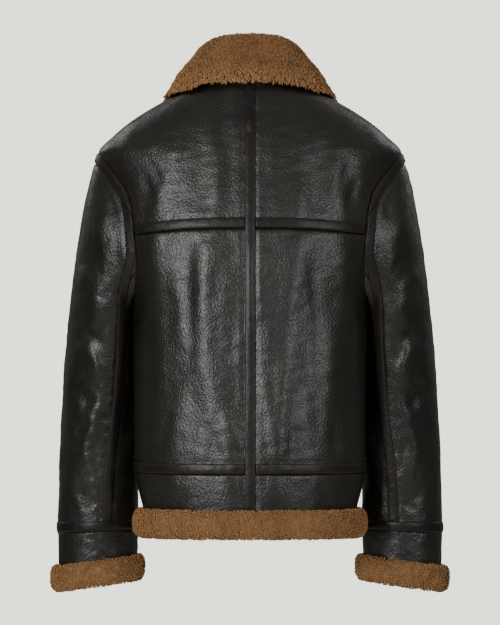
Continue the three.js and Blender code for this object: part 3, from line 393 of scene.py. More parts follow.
def sleeve(phi, station, fine=False):
    to_armhole = armhole_point(phi) - sleeve_oval(phi, 0.0)
    point = sleeve_oval(phi, station) + to_armhole * (1 - smooth(0, 1.6, station))[..., None]
    middle = (sleeve_oval(0.0, station) + sleeve_oval(math.pi, station)) / 2
    outward = unit(point - middle)
    behind = np.sin(phi)
    x, drop = point[..., 0], -point[..., 2]
    back = smooth(0, 0.6, behind)
    folds = back * fold_height(SLEEVE_BACK_FOLDS, x, drop)
    folds = folds + smooth(0, 0.6, -behind) * fold_height(SLEEVE_FRONT_FOLDS, x, drop)
    held = mix(0.08, 1, smooth(0.2, 0.75, np.abs(phi - seam_phi(station))))
    folds = folds * held * smooth(0.4, 1.8, station) * (1 - smooth(9.2, WRIST_STATION, station))
    if fine:
        creases = back * fold_height(SLEEVE_CREASES, x, drop) * mix(0.5, 1, held)
        folds = folds + creases * smooth(0.3, 0.9, station) * (1 - smooth(9.5, 9.9, station))
    return point + outward * folds[..., None]


def sleeve_normal(phi, station, fine=False):
    inside = np.clip(station, 0.03, CUFF_STATION - 0.03)
    return -normals_of(lambda p, s: sleeve(p, s, fine), phi, inside, 0.015, 0.02)


# Meshes


def add_to_scene(name, data):
    thing = bpy.data.objects.new(name, data)
    bpy.context.scene.collection.objects.link(thing)
    return thing


def new_object(name, points, faces, materials, face_slots=None, smooth_faces=True):
    """A mesh object from points in millimetres and an array or a list of faces."""
    mesh = bpy.data.meshes.new(name)
    faces = faces.tolist() if isinstance(faces, np.ndarray) else faces
    mesh.from_pydata((np.asarray(points) * MM).tolist(), [], faces)
    for material in materials:
        mesh.materials.append(material)
    if face_slots is not None:
        mesh.polygons.foreach_set("material_index", np.asarray(face_slots, dtype=np.int32))
    if smooth_faces:
        mesh.polygons.foreach_set("use_smooth", np.ones(len(mesh.polygons), dtype=bool))
    mesh.update()
    return add_to_scene(name, mesh)


def add_attribute(piece, name, values):
    attribute = piece.data.attributes.new(name, "FLOAT", "POINT")
    attribute.data.foreach_set("value", np.asarray(values, dtype=np.float32).ravel())


def grid_faces(rows, columns, start=0, ring=False, flip=False):
    i, j = np.meshgrid(np.arange(rows - 1), np.arange(columns if ring else columns - 1), indexing="ij")
    after = (j + 1) % columns
    quads = np.stack(
        [i * columns + j, i * columns + after, (i + 1) * columns + after, (i + 1) * columns + j], axis=-1
    ).reshape(-1, 4) + start
    return quads[:, ::-1] if flip else quads


def signed_volume(points, quads):
    a, b, c, d = (points[quads[:, k]] for k in range(4))
    return float((a * np.cross(b, c)).sum() + (a * np.cross(c, d)).sum())


def wall(name, outer, inner, materials, ring=False):
    """A closed wall between two grids. The first material is the outside's, the second the inside's."""
    rows, columns = outer.shape[:2]
    count = rows * columns
    points = np.concatenate([outer.reshape(-1, 3), inner.reshape(-1, 3)])
    outside = grid_faces(rows, columns, 0, ring)
    inside = grid_faces(rows, columns, count, ring, flip=True)
    top = np.arange(columns if ring else columns - 1)
    after = (top + 1) % columns
    last = (rows - 1) * columns
    rims = [
        (top, count + top, count + after, after),
        (last + top, last + after, count + last + after, count + last + top),
    ]
    if not ring:
        down = np.arange(rows - 1) * columns
        side = down + columns - 1
        rims.append((down, down + columns, count + down + columns, count + down))
        rims.append((side, count + side, count + side + columns, side + columns))
    faces = np.concatenate([outside, inside] + [np.stack(rim, axis=-1) for rim in rims])
    if signed_volume(points, faces) < 0:
        faces = faces[:, ::-1]
    slots = np.zeros(len(faces), dtype=int)
    if len(materials) > 1:
        slots[len(outside):] = 1
    return new_object(name, points, faces, materials, slots)


def on_side(side, points):
    return points if side > 0 else points * np.array([-1.0, 1.0, 1.0])


# Materials


def new_material(name):
    material = bpy.data.materials.new(name)
    material.use_nodes = True
    tree = material.node_tree
    return material, tree, tree.nodes["Principled BSDF"]


def feed(tree, node, inputs):
    """Link or set a node's inputs, given by name or, where names repeat, by number."""
    for key, value in inputs.items():
        socket = node.inputs[key.replace("_", " ") if isinstance(key, str) else key]
        if isinstance(value, bpy.types.NodeSocket):
            tree.links.new(value, socket)
        else:
            socket.default_value = value


def add_node(tree, kind, settings=None, numbered=None, **inputs):
    node = tree.nodes.new(kind)
    for key, value in (settings or {}).items():
        setattr(node, key, value)
    feed(tree, node, inputs)
    feed(tree, node, numbered or {})
    return node


def bump(tree, height, strength, distance, **inputs):
    return add_node(tree, "ShaderNodeBump", Height=height, Strength=strength, Distance=distance, **inputs)


def noise(tree, place, scale, detail, roughness):
    return add_node(
        tree, "ShaderNodeTexNoise", Vector=place, Scale=scale, Detail=detail, Roughness=roughness
    )


def ramp(tree, factor, stops):
    node = tree.nodes.new("ShaderNodeValToRGB")
    tree.links.new(factor, node.inputs["Fac"])
    elements = node.color_ramp.elements
    while len(elements) < len(stops):
        elements.new(0.5)
    for element, (position, colour) in zip(elements, stops):
        element.position = position
        element.color = (*colour, 1.0)
    return node.outputs["Color"]


def grey(value):
    return (value, value, value)


WORN_BROWN = (0.16, 0.06, 0.025)
RUST_TINT = (0.8, 0.62, 0.5)


def leather_material(name, dark, light, roughness, worn, grain=1.0, shine=0.5):
    """Pebbled, glossy leather. The attribute "wear" brings the brown of rubbed edges."""
    material, tree, shader = new_material(name)
    place = tree.nodes.new("ShaderNodeTexCoord").outputs["Object"]
    broad = noise(tree, place, 9.0, 5.0, 0.6)
    patches = noise(tree, place, 55.0, 6.0, 0.65)
    specks = noise(tree, place, 420.0, 3.0, 0.6)
    base = ramp(tree, broad.outputs["Fac"], [(0.32, dark), (0.68, light)])
    wear = add_node(tree, "ShaderNodeAttribute", {"attribute_name": "wear"})
    mask = ramp(tree, patches.outputs["Fac"], [(0.42, grey(0.0)), (0.66, grey(1.0))])
    worn_noise = add_node(
        tree, "ShaderNodeMath", {"operation": "MULTIPLY"}, {0: wear.outputs["Fac"], 1: mask}
    )
    tinted = add_node(
        tree, "ShaderNodeMix", {"data_type": "RGBA"}, {6: base, 7: (*worn, 1.0)}, Factor=worn_noise.outputs[0]
    )
    gloss = add_node(
        tree, "ShaderNodeMapRange", Value=patches.outputs["Fac"], From_Min=0.25, From_Max=0.75,
        To_Min=roughness - 0.03, To_Max=roughness + 0.04,
    )
    warped = add_node(
        tree, "ShaderNodeMix", {"data_type": "VECTOR"}, {4: place, 5: patches.outputs["Color"]}, Factor=0.012
    )
    pebbles = add_node(
        tree, "ShaderNodeTexVoronoi", {"feature": "SMOOTH_F1"},
        Vector=warped.outputs[1], Scale=330.0, Smoothness=0.3, Randomness=1.0,
    )
    wrinkles = add_node(
        tree, "ShaderNodeTexVoronoi", {"feature": "DISTANCE_TO_EDGE"},
        Vector=warped.outputs[1], Scale=250.0, Randomness=1.0,
    )
    valleys = ramp(tree, wrinkles.outputs["Distance"], [(0.0, grey(0.0)), (0.12, grey(1.0))])
    relief = bump(tree, pebbles.outputs["Distance"], 0.48 * grain, 0.0008)
    relief.invert = True
    for height, strength, distance in (
        (valleys, 0.15 * grain, 0.0003),
        (patches.outputs["Fac"], 0.02, 0.0010),
        (specks.outputs["Fac"], 0.12, 0.0004),
    ):
        relief = bump(tree, height, strength, distance, Normal=relief.outputs["Normal"])
    feed(tree, shader, {
        "Base Color": tinted.outputs[2],
        "Roughness": gloss.outputs["Result"],
        "Normal": relief.outputs["Normal"],
        "Specular IOR Level": shine,
    })
    return material


def wool_material(name, dark, light):
    """Wool: the attribute "tip" goes from the root of a lock to its end. The colour runs from dark at the
    root to light at the end: painted shade deep in the pile.
    """
    material, tree, shader = new_material(name)
    place = tree.nodes.new("ShaderNodeTexCoord").outputs["Object"]
    tufts = noise(tree, place, 150.0, 4.0, 0.6)
    areas = noise(tree, place, 22.0, 3.0, 0.5)
    level = add_node(tree, "ShaderNodeAttribute", {"attribute_name": "tip"}).outputs["Fac"]
    for spots in (tufts, areas):
        level = add_node(
            tree, "ShaderNodeMath", {"operation": "MULTIPLY_ADD"}, {0: spots.outputs["Fac"], 1: 0.5, 2: level}
        ).outputs[0]
    # Dark at the roots and in the hollows, light at the tips: painted shade in the pile
    colour = ramp(tree, level, [(0.45, dark), (1.0, light)])
    rust = add_node(tree, "ShaderNodeAttribute", {"attribute_name": "rust"})
    reddened = add_node(
        tree, "ShaderNodeMix", {"data_type": "RGBA", "blend_type": "MULTIPLY"},
        {6: colour, 7: (*RUST_TINT, 1.0)}, Factor=rust.outputs["Fac"],
    )
    fibres = noise(tree, place, 1500.0, 3.0, 0.7)
    feed(tree, shader, {
        "Base Color": reddened.outputs[2],
        "Normal": bump(tree, fibres.outputs["Fac"], 0.6, 0.0006).outputs["Normal"],
        "Roughness": 0.85,
        "Sheen Weight": 0.15,
        "Sheen Roughness": 0.4,
        "Sheen Tint": (0.7, 0.42, 0.2, 1.0),
    })
    return material


def plain_material(name, dark, light, roughness, metallic=0.0, scale=300.0, depth=0.3):
    material, tree, shader = new_material(name)
    place = tree.nodes.new("ShaderNodeTexCoord").outputs["Object"]
    mottle = noise(tree, place, scale, 4.0, 0.6)
    feed(tree, shader, {
        "Base Color": ramp(tree, mottle.outputs["Fac"], [(0.35, dark), (0.65, light)]),
        "Normal": bump(tree, mottle.outputs["Fac"], depth, 0.0003).outputs["Normal"],
        "Roughness": roughness,
        "Metallic": metallic,
    })
    return material


LEATHER = leather_material("leather", (0.006, 0.0052, 0.0036), (0.014, 0.012, 0.0082), 0.35, WORN_BROWN)
TAPE = leather_material(
    "tape_leather", (0.006, 0.0048, 0.0036), (0.013, 0.0105, 0.008), 0.4, WORN_BROWN, grain=0.5, shine=0.3
)
WOOL = wool_material("tan_wool", (0.11, 0.053, 0.017), (0.39, 0.2, 0.073))
LINING = wool_material("lining_wool", (0.05, 0.024, 0.01), (0.3, 0.165, 0.072))
THREAD = plain_material("thread", (0.012, 0.01, 0.009), (0.03, 0.024, 0.02), 0.7)
ZIP_CLOTH = plain_material("zip_cloth", (0.006, 0.006, 0.006), (0.016, 0.015, 0.014), 0.85, 0.0, 900.0, 0.6)
METAL = plain_material("dark_nickel", (0.24, 0.23, 0.21), (0.42, 0.4, 0.37), 0.33, 1.0, 120.0, 0.1)

# Panels of the body


def side_turn(back):
    return math.pi / 2 + (-EASE if back else EASE) / SIDE_RADIUS


def strap_turn(drop):
    return STRAP_WIDTH / 2 / back_depth(drop)


def zip_turn(drop):
    return math.pi - ZIP["slot"] / front_depth(drop)


UNDERARM_TURN, UNDERARM_DROP = (float(v) for v in armhole_place(np.float64(math.pi)))
TIP_TURN, TIP_DROP = (float(v) for v in armhole_place(np.float64(0.0)))
YOKE_SIDE_TURN, YOKE_SIDE_DROP = (float(v) for v in armhole_place(np.float64(math.pi / 2)))


def yoke_seam(turn):
    share = (np.sin(turn) / math.sin(YOKE_SIDE_TURN)) ** 4
    return mix(YOKE_DROP, YOKE_SIDE_DROP, share)


def shoulder_end(t, back):
    ease = (-EASE if back else EASE) / mix(110, 72, t)
    return mix(TIP_TURN, SHOULDER_TURN, t) + ease, mix(TIP_DROP, float(neck_drop(SHOULDER_TURN)), t)


def body_detail(side, turn, drop):
    """Small relief on the leather: it sinks at the strap edges, puckers there and waves elsewhere."""
    place = torso(side * turn, drop, False)
    x = np.abs(place[..., 0])
    ahead = np.cos(turn)
    edges = hump(x, STRAP_WIDTH / 2 + 1.0, 2.0) * (ahead > 0)
    for seam, width in ((yoke_seam(turn), STRAP_WIDTH), (HEM_SEAM, STRAP_WIDTH)):
        upper, lower = drop - (seam - width - 0.6), drop - (seam + 0.8)
        here = (ahead > 0) if np.ndim(seam) else 1.0
        edges = edges + (hump(upper, 0, 1.6) + hump(lower, 0, 1.8)) * here
    near = hump(x, STRAP_WIDTH / 2, 9) * (ahead > 0)
    near = near + hump(drop, HEM_SEAM - 7, 18) + hump(drop, YOKE_DROP - 7, 18)
    pucker = waves(place, 13, 5) * np.clip(near, 0, 1) * 0.35
    pull = 0.8 * waves(place * np.array([1, 1, 0.35]), 42, 3) + 0.3 * waves(place, 22, 4)
    return -1.3 * np.clip(edges, 0, 1) + pucker + pull * smooth(0.02, 0.25, np.abs(ahead))


def body_faces(side, turn, drop):
    """Outer and inner points of a body panel at grids of places for the left side."""
    outer = torso(side * turn, drop, fine=True)
    normal = torso_normal(side * turn, drop, fine=True)
    outer = outer + normal * body_detail(side, turn, drop)[..., None]
    plain = torso(side * turn, drop)
    plain_normal = torso_normal(side * turn, drop)
    pile = SKIN - 0.6 + 0.7 * waves(plain, 9, 8)
    return outer, plain - plain_normal * pile[..., None]


def armhole_edge(phi, side):
    """The plain armhole seam and the way in between both walls."""
    turn, drop = armhole_place(phi)
    seam = armhole_point(phi)
    body_in = -torso_normal(turn, drop, False)
    sleeve_in = -sleeve_normal(phi, np.full_like(phi, 0.1))
    along = unit(armhole_point(phi + 0.01) - armhole_point(phi - 0.01))
    body_on = unit(np.cross(along, body_in))
    to_middle = np.array([0.0, ARMHOLE["y"], -ARMHOLE["drop"]]) - seam
    to_middle[..., 0] = 0
    body_on = body_on * np.sign((body_on * to_middle).sum(-1, keepdims=True))
    sleeve_back = unit(sleeve(phi, np.zeros_like(phi)) - sleeve(phi, np.full_like(phi, 0.1)))
    mitre = body_in + sleeve_in + body_on + sleeve_back
    mitre = unit(mitre - along * (mitre * along).sum(-1, keepdims=True))
    return on_side(side, seam), on_side(side, mitre * SKIN)


def panel(part, side, turn, drop, phis):
    """A body panel. Rows with a phi that isn't nan end on the armhole seam."""
    outer, inner = body_faces(side, turn, drop)
    on_seam = ~np.isnan(phis)
    if on_seam.any():
        seam, mitre = armhole_edge(phis[on_seam], side)
        outer[on_seam, -1] = seam
        inner[on_seam, -1] = seam + mitre
    node = f"{part}_{side_word(side)}"
    piece = wall(f"{node}_leather", outer, inner, [LEATHER, LINING])
    wear = np.zeros(outer.shape[:2])
    wear[:, -1] = 0.05
    wear[on_seam, -2] = 0.05
    add_attribute(piece, "wear", np.concatenate([wear.ravel(), np.zeros(wear.size)]))
    finish(piece, node)
    declare_sheet(outer)


def finish(piece, replaced, body="root"):
    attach(piece, body)
    if replaced:
        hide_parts(replaced)


def declare_sheet(outer, ring=False):
    """Measures the lengths down and across a panel's outer grid; nothing keeps them."""
    down = np.linalg.norm(np.diff(outer, axis=0), axis=-1).sum(0).max() * MM
    wide = np.linalg.norm(np.diff(outer, axis=1), axis=-1).sum(1)
    if ring:
        wide = wide + np.linalg.norm(outer[:, 0] - outer[:, -1], axis=-1)
    wide = wide.max() * MM


ACROSS = 46  # steps across a panel


def steps(low, high, count):
    return np.linspace(low, high, count + 1)


def back_turns(drop, end_turn):
    """Rows of turns from the centre seam to the side, close together at the centre strap."""
    share = np.concatenate([[0, 0.15, 0.5, 0.85, 1.0], 1 + steps(0, 1, ACROSS)[1:]])
    start = EASE / back_depth(drop)
    edge = strap_turn(drop) * 1.25
    first = start[:, None] + (edge - start)[:, None] * np.clip(share, 0, 1)
    return first + (end_turn - edge)[:, None] * np.clip(share - 1, 0, 1)


def rows_between(end_turn, end_drop, lower, upper):
    share = (end_drop[0] - end_drop) / (end_drop[0] - end_drop[-1])
    turn = back_turns(end_drop, end_turn)
    level = mix(lower(turn), upper(turn), share[:, None])
    end_level = mix(lower(end_turn), upper(end_turn), share)
    across = (turn - turn[:, :1]) / (turn[:, -1:] - turn[:, :1])
    return turn, level + (end_drop - end_level)[:, None] * across ** 3


def armhole_rows(start, stop, count):
    phis = np.linspace(start, stop, count + 1)
    turn, drop = armhole_place(phis)
    return phis, turn, drop


def side_rows(back, top_phi_rows):
    drops = np.linspace(HEM_SEAM - EASE, UNDERARM_DROP, 64)[:-1]
    turns = np.full_like(drops, side_turn(back))
    phis = np.full_like(drops, np.nan)
    return (np.concatenate(pair) for pair in zip((phis, turns, drops), top_phi_rows))


def back_panel(side):
    phis, turns, drops = side_rows(True, armhole_rows(math.pi, math.pi / 2, 34))
    drops[-1] += EASE
    turn, drop = rows_between(
        turns, drops, lambda t: HEM_SEAM - EASE + 0 * t, lambda t: yoke_seam(t) + EASE
    )
    panel("back", side, turn, drop, phis)


def yoke_panel(side):
    phis, turns, drops = armhole_rows(math.pi / 2, 0.0, 36)
    drops[0] -= EASE
    shoulder = steps(0, 1, 44)[1:]
    turns2, drops2 = shoulder_end(shoulder, True)
    phis = np.concatenate([phis, np.full_like(shoulder, np.nan)])
    turns, drops = np.concatenate([turns, turns2]), np.concatenate([drops, drops2])
    turn, drop = rows_between(turns, drops, lambda t: yoke_seam(t) - EASE, neck_drop)
    panel("yoke", side, turn, drop, phis)


def front_panel(side):
    phis, turns, drops = side_rows(False, armhole_rows(math.pi, 2 * math.pi, 68))
    raised = np.clip((UNDERARM_DROP - drops) / (UNDERARM_DROP - TIP_DROP), 0, 1)
    neck_first = math.degrees(float(zip_turn(ZIP["neck"])))
    neck_start = float(neck_drop_degrees(neck_first))
    start_drops = mix(drops, neck_start, raised ** 2)
    start_turns = zip_turn(start_drops)
    shoulder = steps(0, 1, 50)[1:]
    turns2, drops2 = shoulder_end(shoulder, False)
    neck_turns = np.radians(mix(neck_first, math.degrees(SHOULDER_TURN) + 4, shoulder))
    turns, drops = np.concatenate([turns, turns2]), np.concatenate([drops, drops2])
    start_turns = np.concatenate([start_turns, neck_turns])
    start_drops = np.concatenate([start_drops, neck_drop(neck_turns)])
    phis = np.concatenate([phis, np.full_like(shoulder, np.nan)])
    across = steps(0, 1, ACROSS + 6)[None, :]
    turn = mix(start_turns[:, None], turns[:, None], across)
    drop = mix(start_drops[:, None], drops[:, None], across)
    panel("front", side, turn, drop, phis)


def band_panel(side, back):
    drops = steps(HEM_SEAM + EASE, BAND_END, 16)
    ends = np.full_like(drops, side_turn(back))
    if back:
        turn = back_turns(drops, ends)
    else:
        turn = mix(zip_turn(drops)[:, None], ends[:, None], steps(0, 1, ACROSS)[None, :])
    drop = np.repeat(drops[:, None], turn.shape[1], axis=1)
    part = "hem_band_back" if back else "hem_band_front"
    panel(part, side, turn, drop, np.full_like(drops, np.nan))


# Sleeves

UPPER_END = 2.2  # station down to which a sleeve's rows lie closer together


def column_phi(phi, station):
    seam = seam_phi(station)
    above = math.pi - (math.pi - phi) * (math.pi - seam) / (math.pi - SEAM_BACK)
    behind = np.where(phi < SEAM_BACK, phi * seam / SEAM_BACK, above)
    return np.where((phi < 0) | (phi > math.pi), phi, behind)


def strap_station():
    """Stations, as a function of phi, that lie a strap's width down from the armhole seam."""
    phis = np.linspace(0, 2 * math.pi, 145)
    stations = np.linspace(0, UPPER_END, 221)
    grid = sleeve(phis[:, None], stations[None, :])
    far = np.linalg.norm(grid - grid[:, :1], axis=-1) >= STRAP_WIDTH
    found = stations[np.argmax(far, axis=1)]
    return lambda phi: np.interp(np.mod(phi, 2 * math.pi), phis, found)


strap_end = strap_station()


def sleeve_detail(side, phi, station, point):
    seam = np.abs(phi - seam_phi(station)) * half_depth(station)
    edge = STRAP_WIDTH / 2 + 1.0
    edges = hump(seam, edge, 2.0) * (station < WRIST_STATION - 0.2)
    edges = edges * smooth(1.1, 1.5, station)
    end = strap_end(phi)
    covered = np.where(np.sin(phi) > 0, np.cos(phi) > -0.17, np.cos(phi) > -0.5)
    upper = np.exp(-(((station - end - 0.02) * 40 / 2.2) ** 2)) * covered
    near = hump(seam, 9, 10) + hump(station, WRIST_STATION, 0.3)
    pucker = waves(point, 13, 15 + side) * np.clip(near, 0, 1) * 0.5
    pull = 0.7 * waves(point * np.array([1, 1, 0.6]), 46, 13 + side) + 0.35 * waves(point, 20, 14 + side)
    inside = smooth(-0.7, -0.96, np.cos(phi)) * smooth(0.4, 1.3, station) * (1 - smooth(6, 8, station))
    pull = pull * (1 - inside) * smooth(0.1, 0.8, station)
    return -1.3 * np.clip(edges + upper, 0, 1) + pucker + pull + 2.6 * inside


def sleeve_faces(side, phi, station):
    outer = sleeve(phi, station, True)
    normal = sleeve_normal(phi, station, True)
    outer = outer + normal * sleeve_detail(side, phi, station, outer)[..., None]
    plain = sleeve(phi, station)
    pile = SKIN - 0.6 + 0.7 * waves(plain, 9, 18)
    return outer, plain - sleeve_normal(phi, station) * pile[..., None]


def sleeve_panel(side, part, start, stop, count):
    node = f"{part}_{side_word(side)}"
    columns = np.linspace(start, stop, count + 1)
    rows = np.concatenate([steps(0, UPPER_END, 34), steps(UPPER_END, WRIST_STATION, 112)[1:]])
    rows[-1] -= EASE / STATION_LENGTH
    phi, station = np.meshgrid(columns, rows)
    phi = column_phi(phi, station)
    phi[:, 0] += EASE / SLEEVE_RADIUS
    phi[:, -1] -= EASE / SLEEVE_RADIUS
    outer, inner = sleeve_faces(side, phi, station)
    outer, inner = on_side(side, outer), on_side(side, inner)
    seam, mitre = armhole_edge(phi[0], side)
    outer[0], inner[0] = seam, seam + mitre
    piece = wall(f"{node}_leather", outer, inner, [LEATHER, LINING])
    add_attribute(piece, "wear", np.zeros(2 * phi.size))
    finish(piece, node)
    declare_sheet(outer)


def wristband(side):
    columns = np.linspace(0, 2 * math.pi, 97)[:-1]
    rows = steps(WRIST_STATION + EASE / WRISTBAND_LENGTH, CUFF_STATION, 18)
    phi, station = np.meshgrid(columns, rows)
    phi = column_phi(phi, station)
    outer, inner = sleeve_faces(side, phi, station)
    node = f"wristband_{side_word(side)}"
    outer = on_side(side, outer)
    piece = wall(f"{node}_leather", outer, on_side(side, inner), [LEATHER, LINING], ring=True)
    add_attribute(piece, "wear", np.zeros(2 * phi.size))
    finish(piece, node)
    declare_sheet(outer, ring=True)


# Straps: leather tape over the seams, with rolled edges and two rows of stitches

HALF_ACROSS = [0.3, 0.62, 0.8, 0.93, 0.985, 1.0]
ACROSS_STRAP = np.array([-share for share in reversed(HALF_ACROSS)] + [0.0] + HALF_ACROSS)
STITCH_LINE = 0.74  # share of the half width
STRAP_BESIDE = 0.4  # how far the cross straps start from the centre strap's edge
STITCH = {"pitch": 3.6, "length": 2.6, "radius": 0.34, "sunk": 0.55}
STITCHES = []


def strap_profile(across):
    """Height of the tape's top: softly rounded, with a groove at the stitches and rolled edges."""
    edge = np.sqrt(np.clip(1 - np.abs(across) ** 8, 0, 1))
    groove = hump(np.abs(across), STITCH_LINE, 0.07)
    return edge * (STRAP_THICKNESS - 0.45 * across ** 2 - 0.3 * groove)


def strap(node, surface, normal_at, length_rows, seed, ring=False, rubbed=0.1, scuff=None):
    """A strap from surface(row, across) points, with across from -1 to 1 over its width."""
    row, across = np.meshgrid(length_rows, ACROSS_STRAP, indexing="ij")
    base, normal = surface(row, across), normal_at(row, across)
    swell = strap_profile(across) + 0.22 * waves(base, 11, 40 + seed) * (1 - np.abs(across) ** 4)
    outer = base + normal * (STRAP_LIFT + swell)[..., None]
    inner = base + normal * (STRAP_LIFT * 0.4)
    name = f"{node}_tape"
    if ring:
        piece = wall(name, np.swapaxes(outer, 0, 1), np.swapaxes(inner, 0, 1), [TAPE], ring=True)
    else:
        piece = wall(name, outer, inner, [TAPE])
    wear = rubbed * smooth(0.6, 1.0, np.abs(across)) * (0.5 + 0.5 * waves(base, 45, 60 + seed))
    if scuff:
        middle, length, breadth = scuff
        wear = wear + 2 * hump(row, middle, length, 4) * hump(across, 0.1, breadth)
    wear = np.clip(wear, 0, 1)
    wear = wear.T if ring else wear
    add_attribute(piece, "wear", np.concatenate([wear.ravel(), wear.ravel()]))
    finish(piece, node)
    declare_sheet(outer)
    for edge in (-STITCH_LINE, STITCH_LINE):
        line_rows = np.linspace(length_rows[0], length_rows[-1], len(length_rows) * 3)
        line = surface(line_rows, np.full_like(line_rows, edge))
        away = normal_at(line_rows, np.full_like(line_rows, edge))
        STITCHES.append((line + away * (STRAP_LIFT + STRAP_THICKNESS - STITCH["sunk"]), away))


def body_strap_surface(side, place):
    def surface(row, across):
        turn, drop = place(row, across)
        return torso(side * turn, drop, fine=True)

    def normal_at(row, across):
        turn, drop = place(row, across)
        return torso_normal(side * turn, drop, fine=True)

    return surface, normal_at


def centre_strap():
    def place(row, across):
        return across * STRAP_WIDTH / 2 / back_depth(row), row

    flat, normal_at = body_strap_surface(1, place)

    def surface(row, across):
        here = smooth(245, 275, row) * (1 - smooth(345, 400, row))
        lift = 0.9 * hump(across, 0.05, 0.2) * here
        return flat(row, across) + normal_at(row, across) * lift[..., None]

    rows = steps(7.5, BAND_END - 2.6, 210)
    strap("strap_centre_back", surface, normal_at, rows, 1, scuff=(82, 8, 0.22))


def yoke_strap(side):
    def place(row, across):
        return row, yoke_seam(row) - STRAP_WIDTH / 2 * (1 - across)

    surface, normal_at = body_strap_surface(side, place)
    start = (STRAP_WIDTH / 2 + STRAP_BESIDE) / float(back_depth(YOKE_DROP))
    rows = steps(start, YOKE_SIDE_TURN - 0.012, 60)
    strap(f"strap_yoke_{side_word(side)}", surface, normal_at, rows, 2 + side)


def hem_strap(side):
    def place(row, across):
        return row, HEM_SEAM - EASE - STRAP_WIDTH / 2 * (1 - across)

    surface, normal_at = body_strap_surface(side, place)
    start = (STRAP_WIDTH / 2 + STRAP_BESIDE) / float(back_depth(HEM_SEAM))
    rows = steps(start, float(zip_turn(HEM_SEAM)), 130)
    strap(f"strap_hem_{side_word(side)}", surface, normal_at, rows, 6 + side, rubbed=0.35)


def sleeve_strap_surface(side, place):
    def surface(row, across):
        phi, station = place(row, across)
        return on_side(side, sleeve(phi, station, True))

    def normal_at(row, across):
        phi, station = place(row, across)
        return on_side(side, sleeve_normal(phi, station, True))

    return surface, normal_at


JOINT_PHI = math.radians(67.5)  # where the sleeve's strap comes out from the armhole's
SLANT = math.radians(7.5)  # of the joint, either way
JOINT_LENGTH = 13.0  # the same slant along the strap


def arm_strap(side):
    def place(row, across):
        phi = row - SLANT * across * smooth(JOINT_PHI - 0.6, JOINT_PHI, row)
        return column_phi(phi, 0.0 * row), strap_end(phi) * (0.53 + 0.47 * across)

    surface, normal_at = sleeve_strap_surface(side, place)
    rows = steps(SEAM_FRONT - 2 * math.pi, JOINT_PHI, 96)
    strap(f"strap_armhole_{side_word(side)}", surface, normal_at, rows, 10 + side)


def hind_path():
    """The middle of the sleeve's strap by its length: along the armhole behind, then down the seam."""
    ring = np.radians([52.0, 60.0, 68.0, 76.0, 84.0, 92.0, 99.0])
    beside = strap_end(ring) * 0.53
    down = np.concatenate([[1.2, 1.6, 2.0], np.linspace(2.6, CUFF_STATION, 16)])
    scale = np.array([70.0, 50.0])
    points = np.stack([np.concatenate([ring, seam_phi(down)]), np.concatenate([beside, down])], axis=-1)
    phi, station = (catmull((points * scale)[None], np.linspace(0, 1, 500))[0] / scale).T
    places = sleeve(phi, station)
    lengths = np.concatenate([[0], np.cumsum(np.linalg.norm(np.diff(places, axis=0), axis=-1))])
    lengths = lengths - np.interp(JOINT_PHI, phi, lengths)
    return lengths, phi, station


def hind_strap(side):
    lengths, phis, stations = hind_path()

    def middle(row):
        return np.interp(row, lengths, phis), np.interp(row, lengths, stations)

    def place(row, across):
        row = row - JOINT_LENGTH * across * (1 - smooth(0, 50, row))
        phi, station = middle(row)
        ahead = sleeve(*middle(row + 3)) - sleeve(*middle(row - 3))
        by_phi = (sleeve(phi + 0.01, station) - sleeve(phi - 0.01, station)) / 0.02
        by_station = (sleeve(phi, station + 0.02) - sleeve(phi, station - 0.02)) / 0.04
        way = unit(np.cross(np.cross(by_phi, by_station), ahead))
        aa, bb = (by_phi * by_phi).sum(-1), (by_station * by_station).sum(-1)
        ab = (by_phi * by_station).sum(-1)
        wa, wb = (way * by_phi).sum(-1), (way * by_station).sum(-1)
        reach = across * STRAP_WIDTH / 2 / (aa * bb - ab * ab)
        return phi + (wa * bb - wb * ab) * reach, np.maximum(station + (wb * aa - wa * ab) * reach, 0.012)

    surface, normal_at = sleeve_strap_surface(side, place)
    end = float(np.interp(WRIST_STATION - 0.36, stations, lengths))
    rows = steps(0.8, end, 170)
    strap(f"strap_sleeve_{side_word(side)}", surface, normal_at, rows, 14 + side)


def wrist_strap(side):
    def place(row, across):
        return row, WRIST_STATION - 0.01 - 0.165 * (1 - across)

    surface, normal_at = sleeve_strap_surface(side, place)
    rows = np.linspace(0, 2 * math.pi, 109)[:-1]
    strap(f"strap_wrist_{side_word(side)}", surface, normal_at, rows, 18 + side, ring=True)



def stitches():
    """Short rounded threads along each strap."""
    points, faces = [], []
    along_shape = np.array([(-0.5, 0.25), (-0.25, 1.0), (0.25, 1.0), (0.5, 0.25)])
    ring = np.linspace(0, 2 * math.pi, 5)[:-1]
    rings, count = len(along_shape), len(ring)
    quads = grid_faces(rings, count, 0, ring=True)
    total = 0
    for line, away in STITCHES:
        lengths = np.concatenate([[0], np.cumsum(np.linalg.norm(np.diff(line, axis=0), axis=-1))])
        places = np.arange(STITCH["pitch"], lengths[-1] - STITCH["pitch"], STITCH["pitch"])
        middle = np.stack([np.interp(places, lengths, line[:, k]) for k in range(3)], axis=-1)
        ahead = np.stack([np.interp(places + 0.5, lengths, line[:, k]) for k in range(3)], axis=-1)
        up = unit(np.stack([np.interp(places, lengths, away[:, k]) for k in range(3)], axis=-1))
        tangent = unit(ahead - middle)
        side = np.cross(tangent, up)
        for k in range(len(places)):
            shape = (
                middle[k]
                + tangent[k] * (along_shape[:, 0, None, None] * STITCH["length"])
                + side[k] * (np.cos(ring)[None, :, None] * along_shape[:, 1, None, None] * STITCH["radius"])
                + up[k] * (np.sin(ring)[None, :, None] * along_shape[:, 1, None, None] * STITCH["radius"])
            )
            points.append(shape.reshape(-1, 3))
            faces.append(quads + total)
            total += rings * count
    piece = new_object("seam_stitches", np.concatenate(points), np.concatenate(faces), [THREAD])
    finish(piece, None)


# Wool


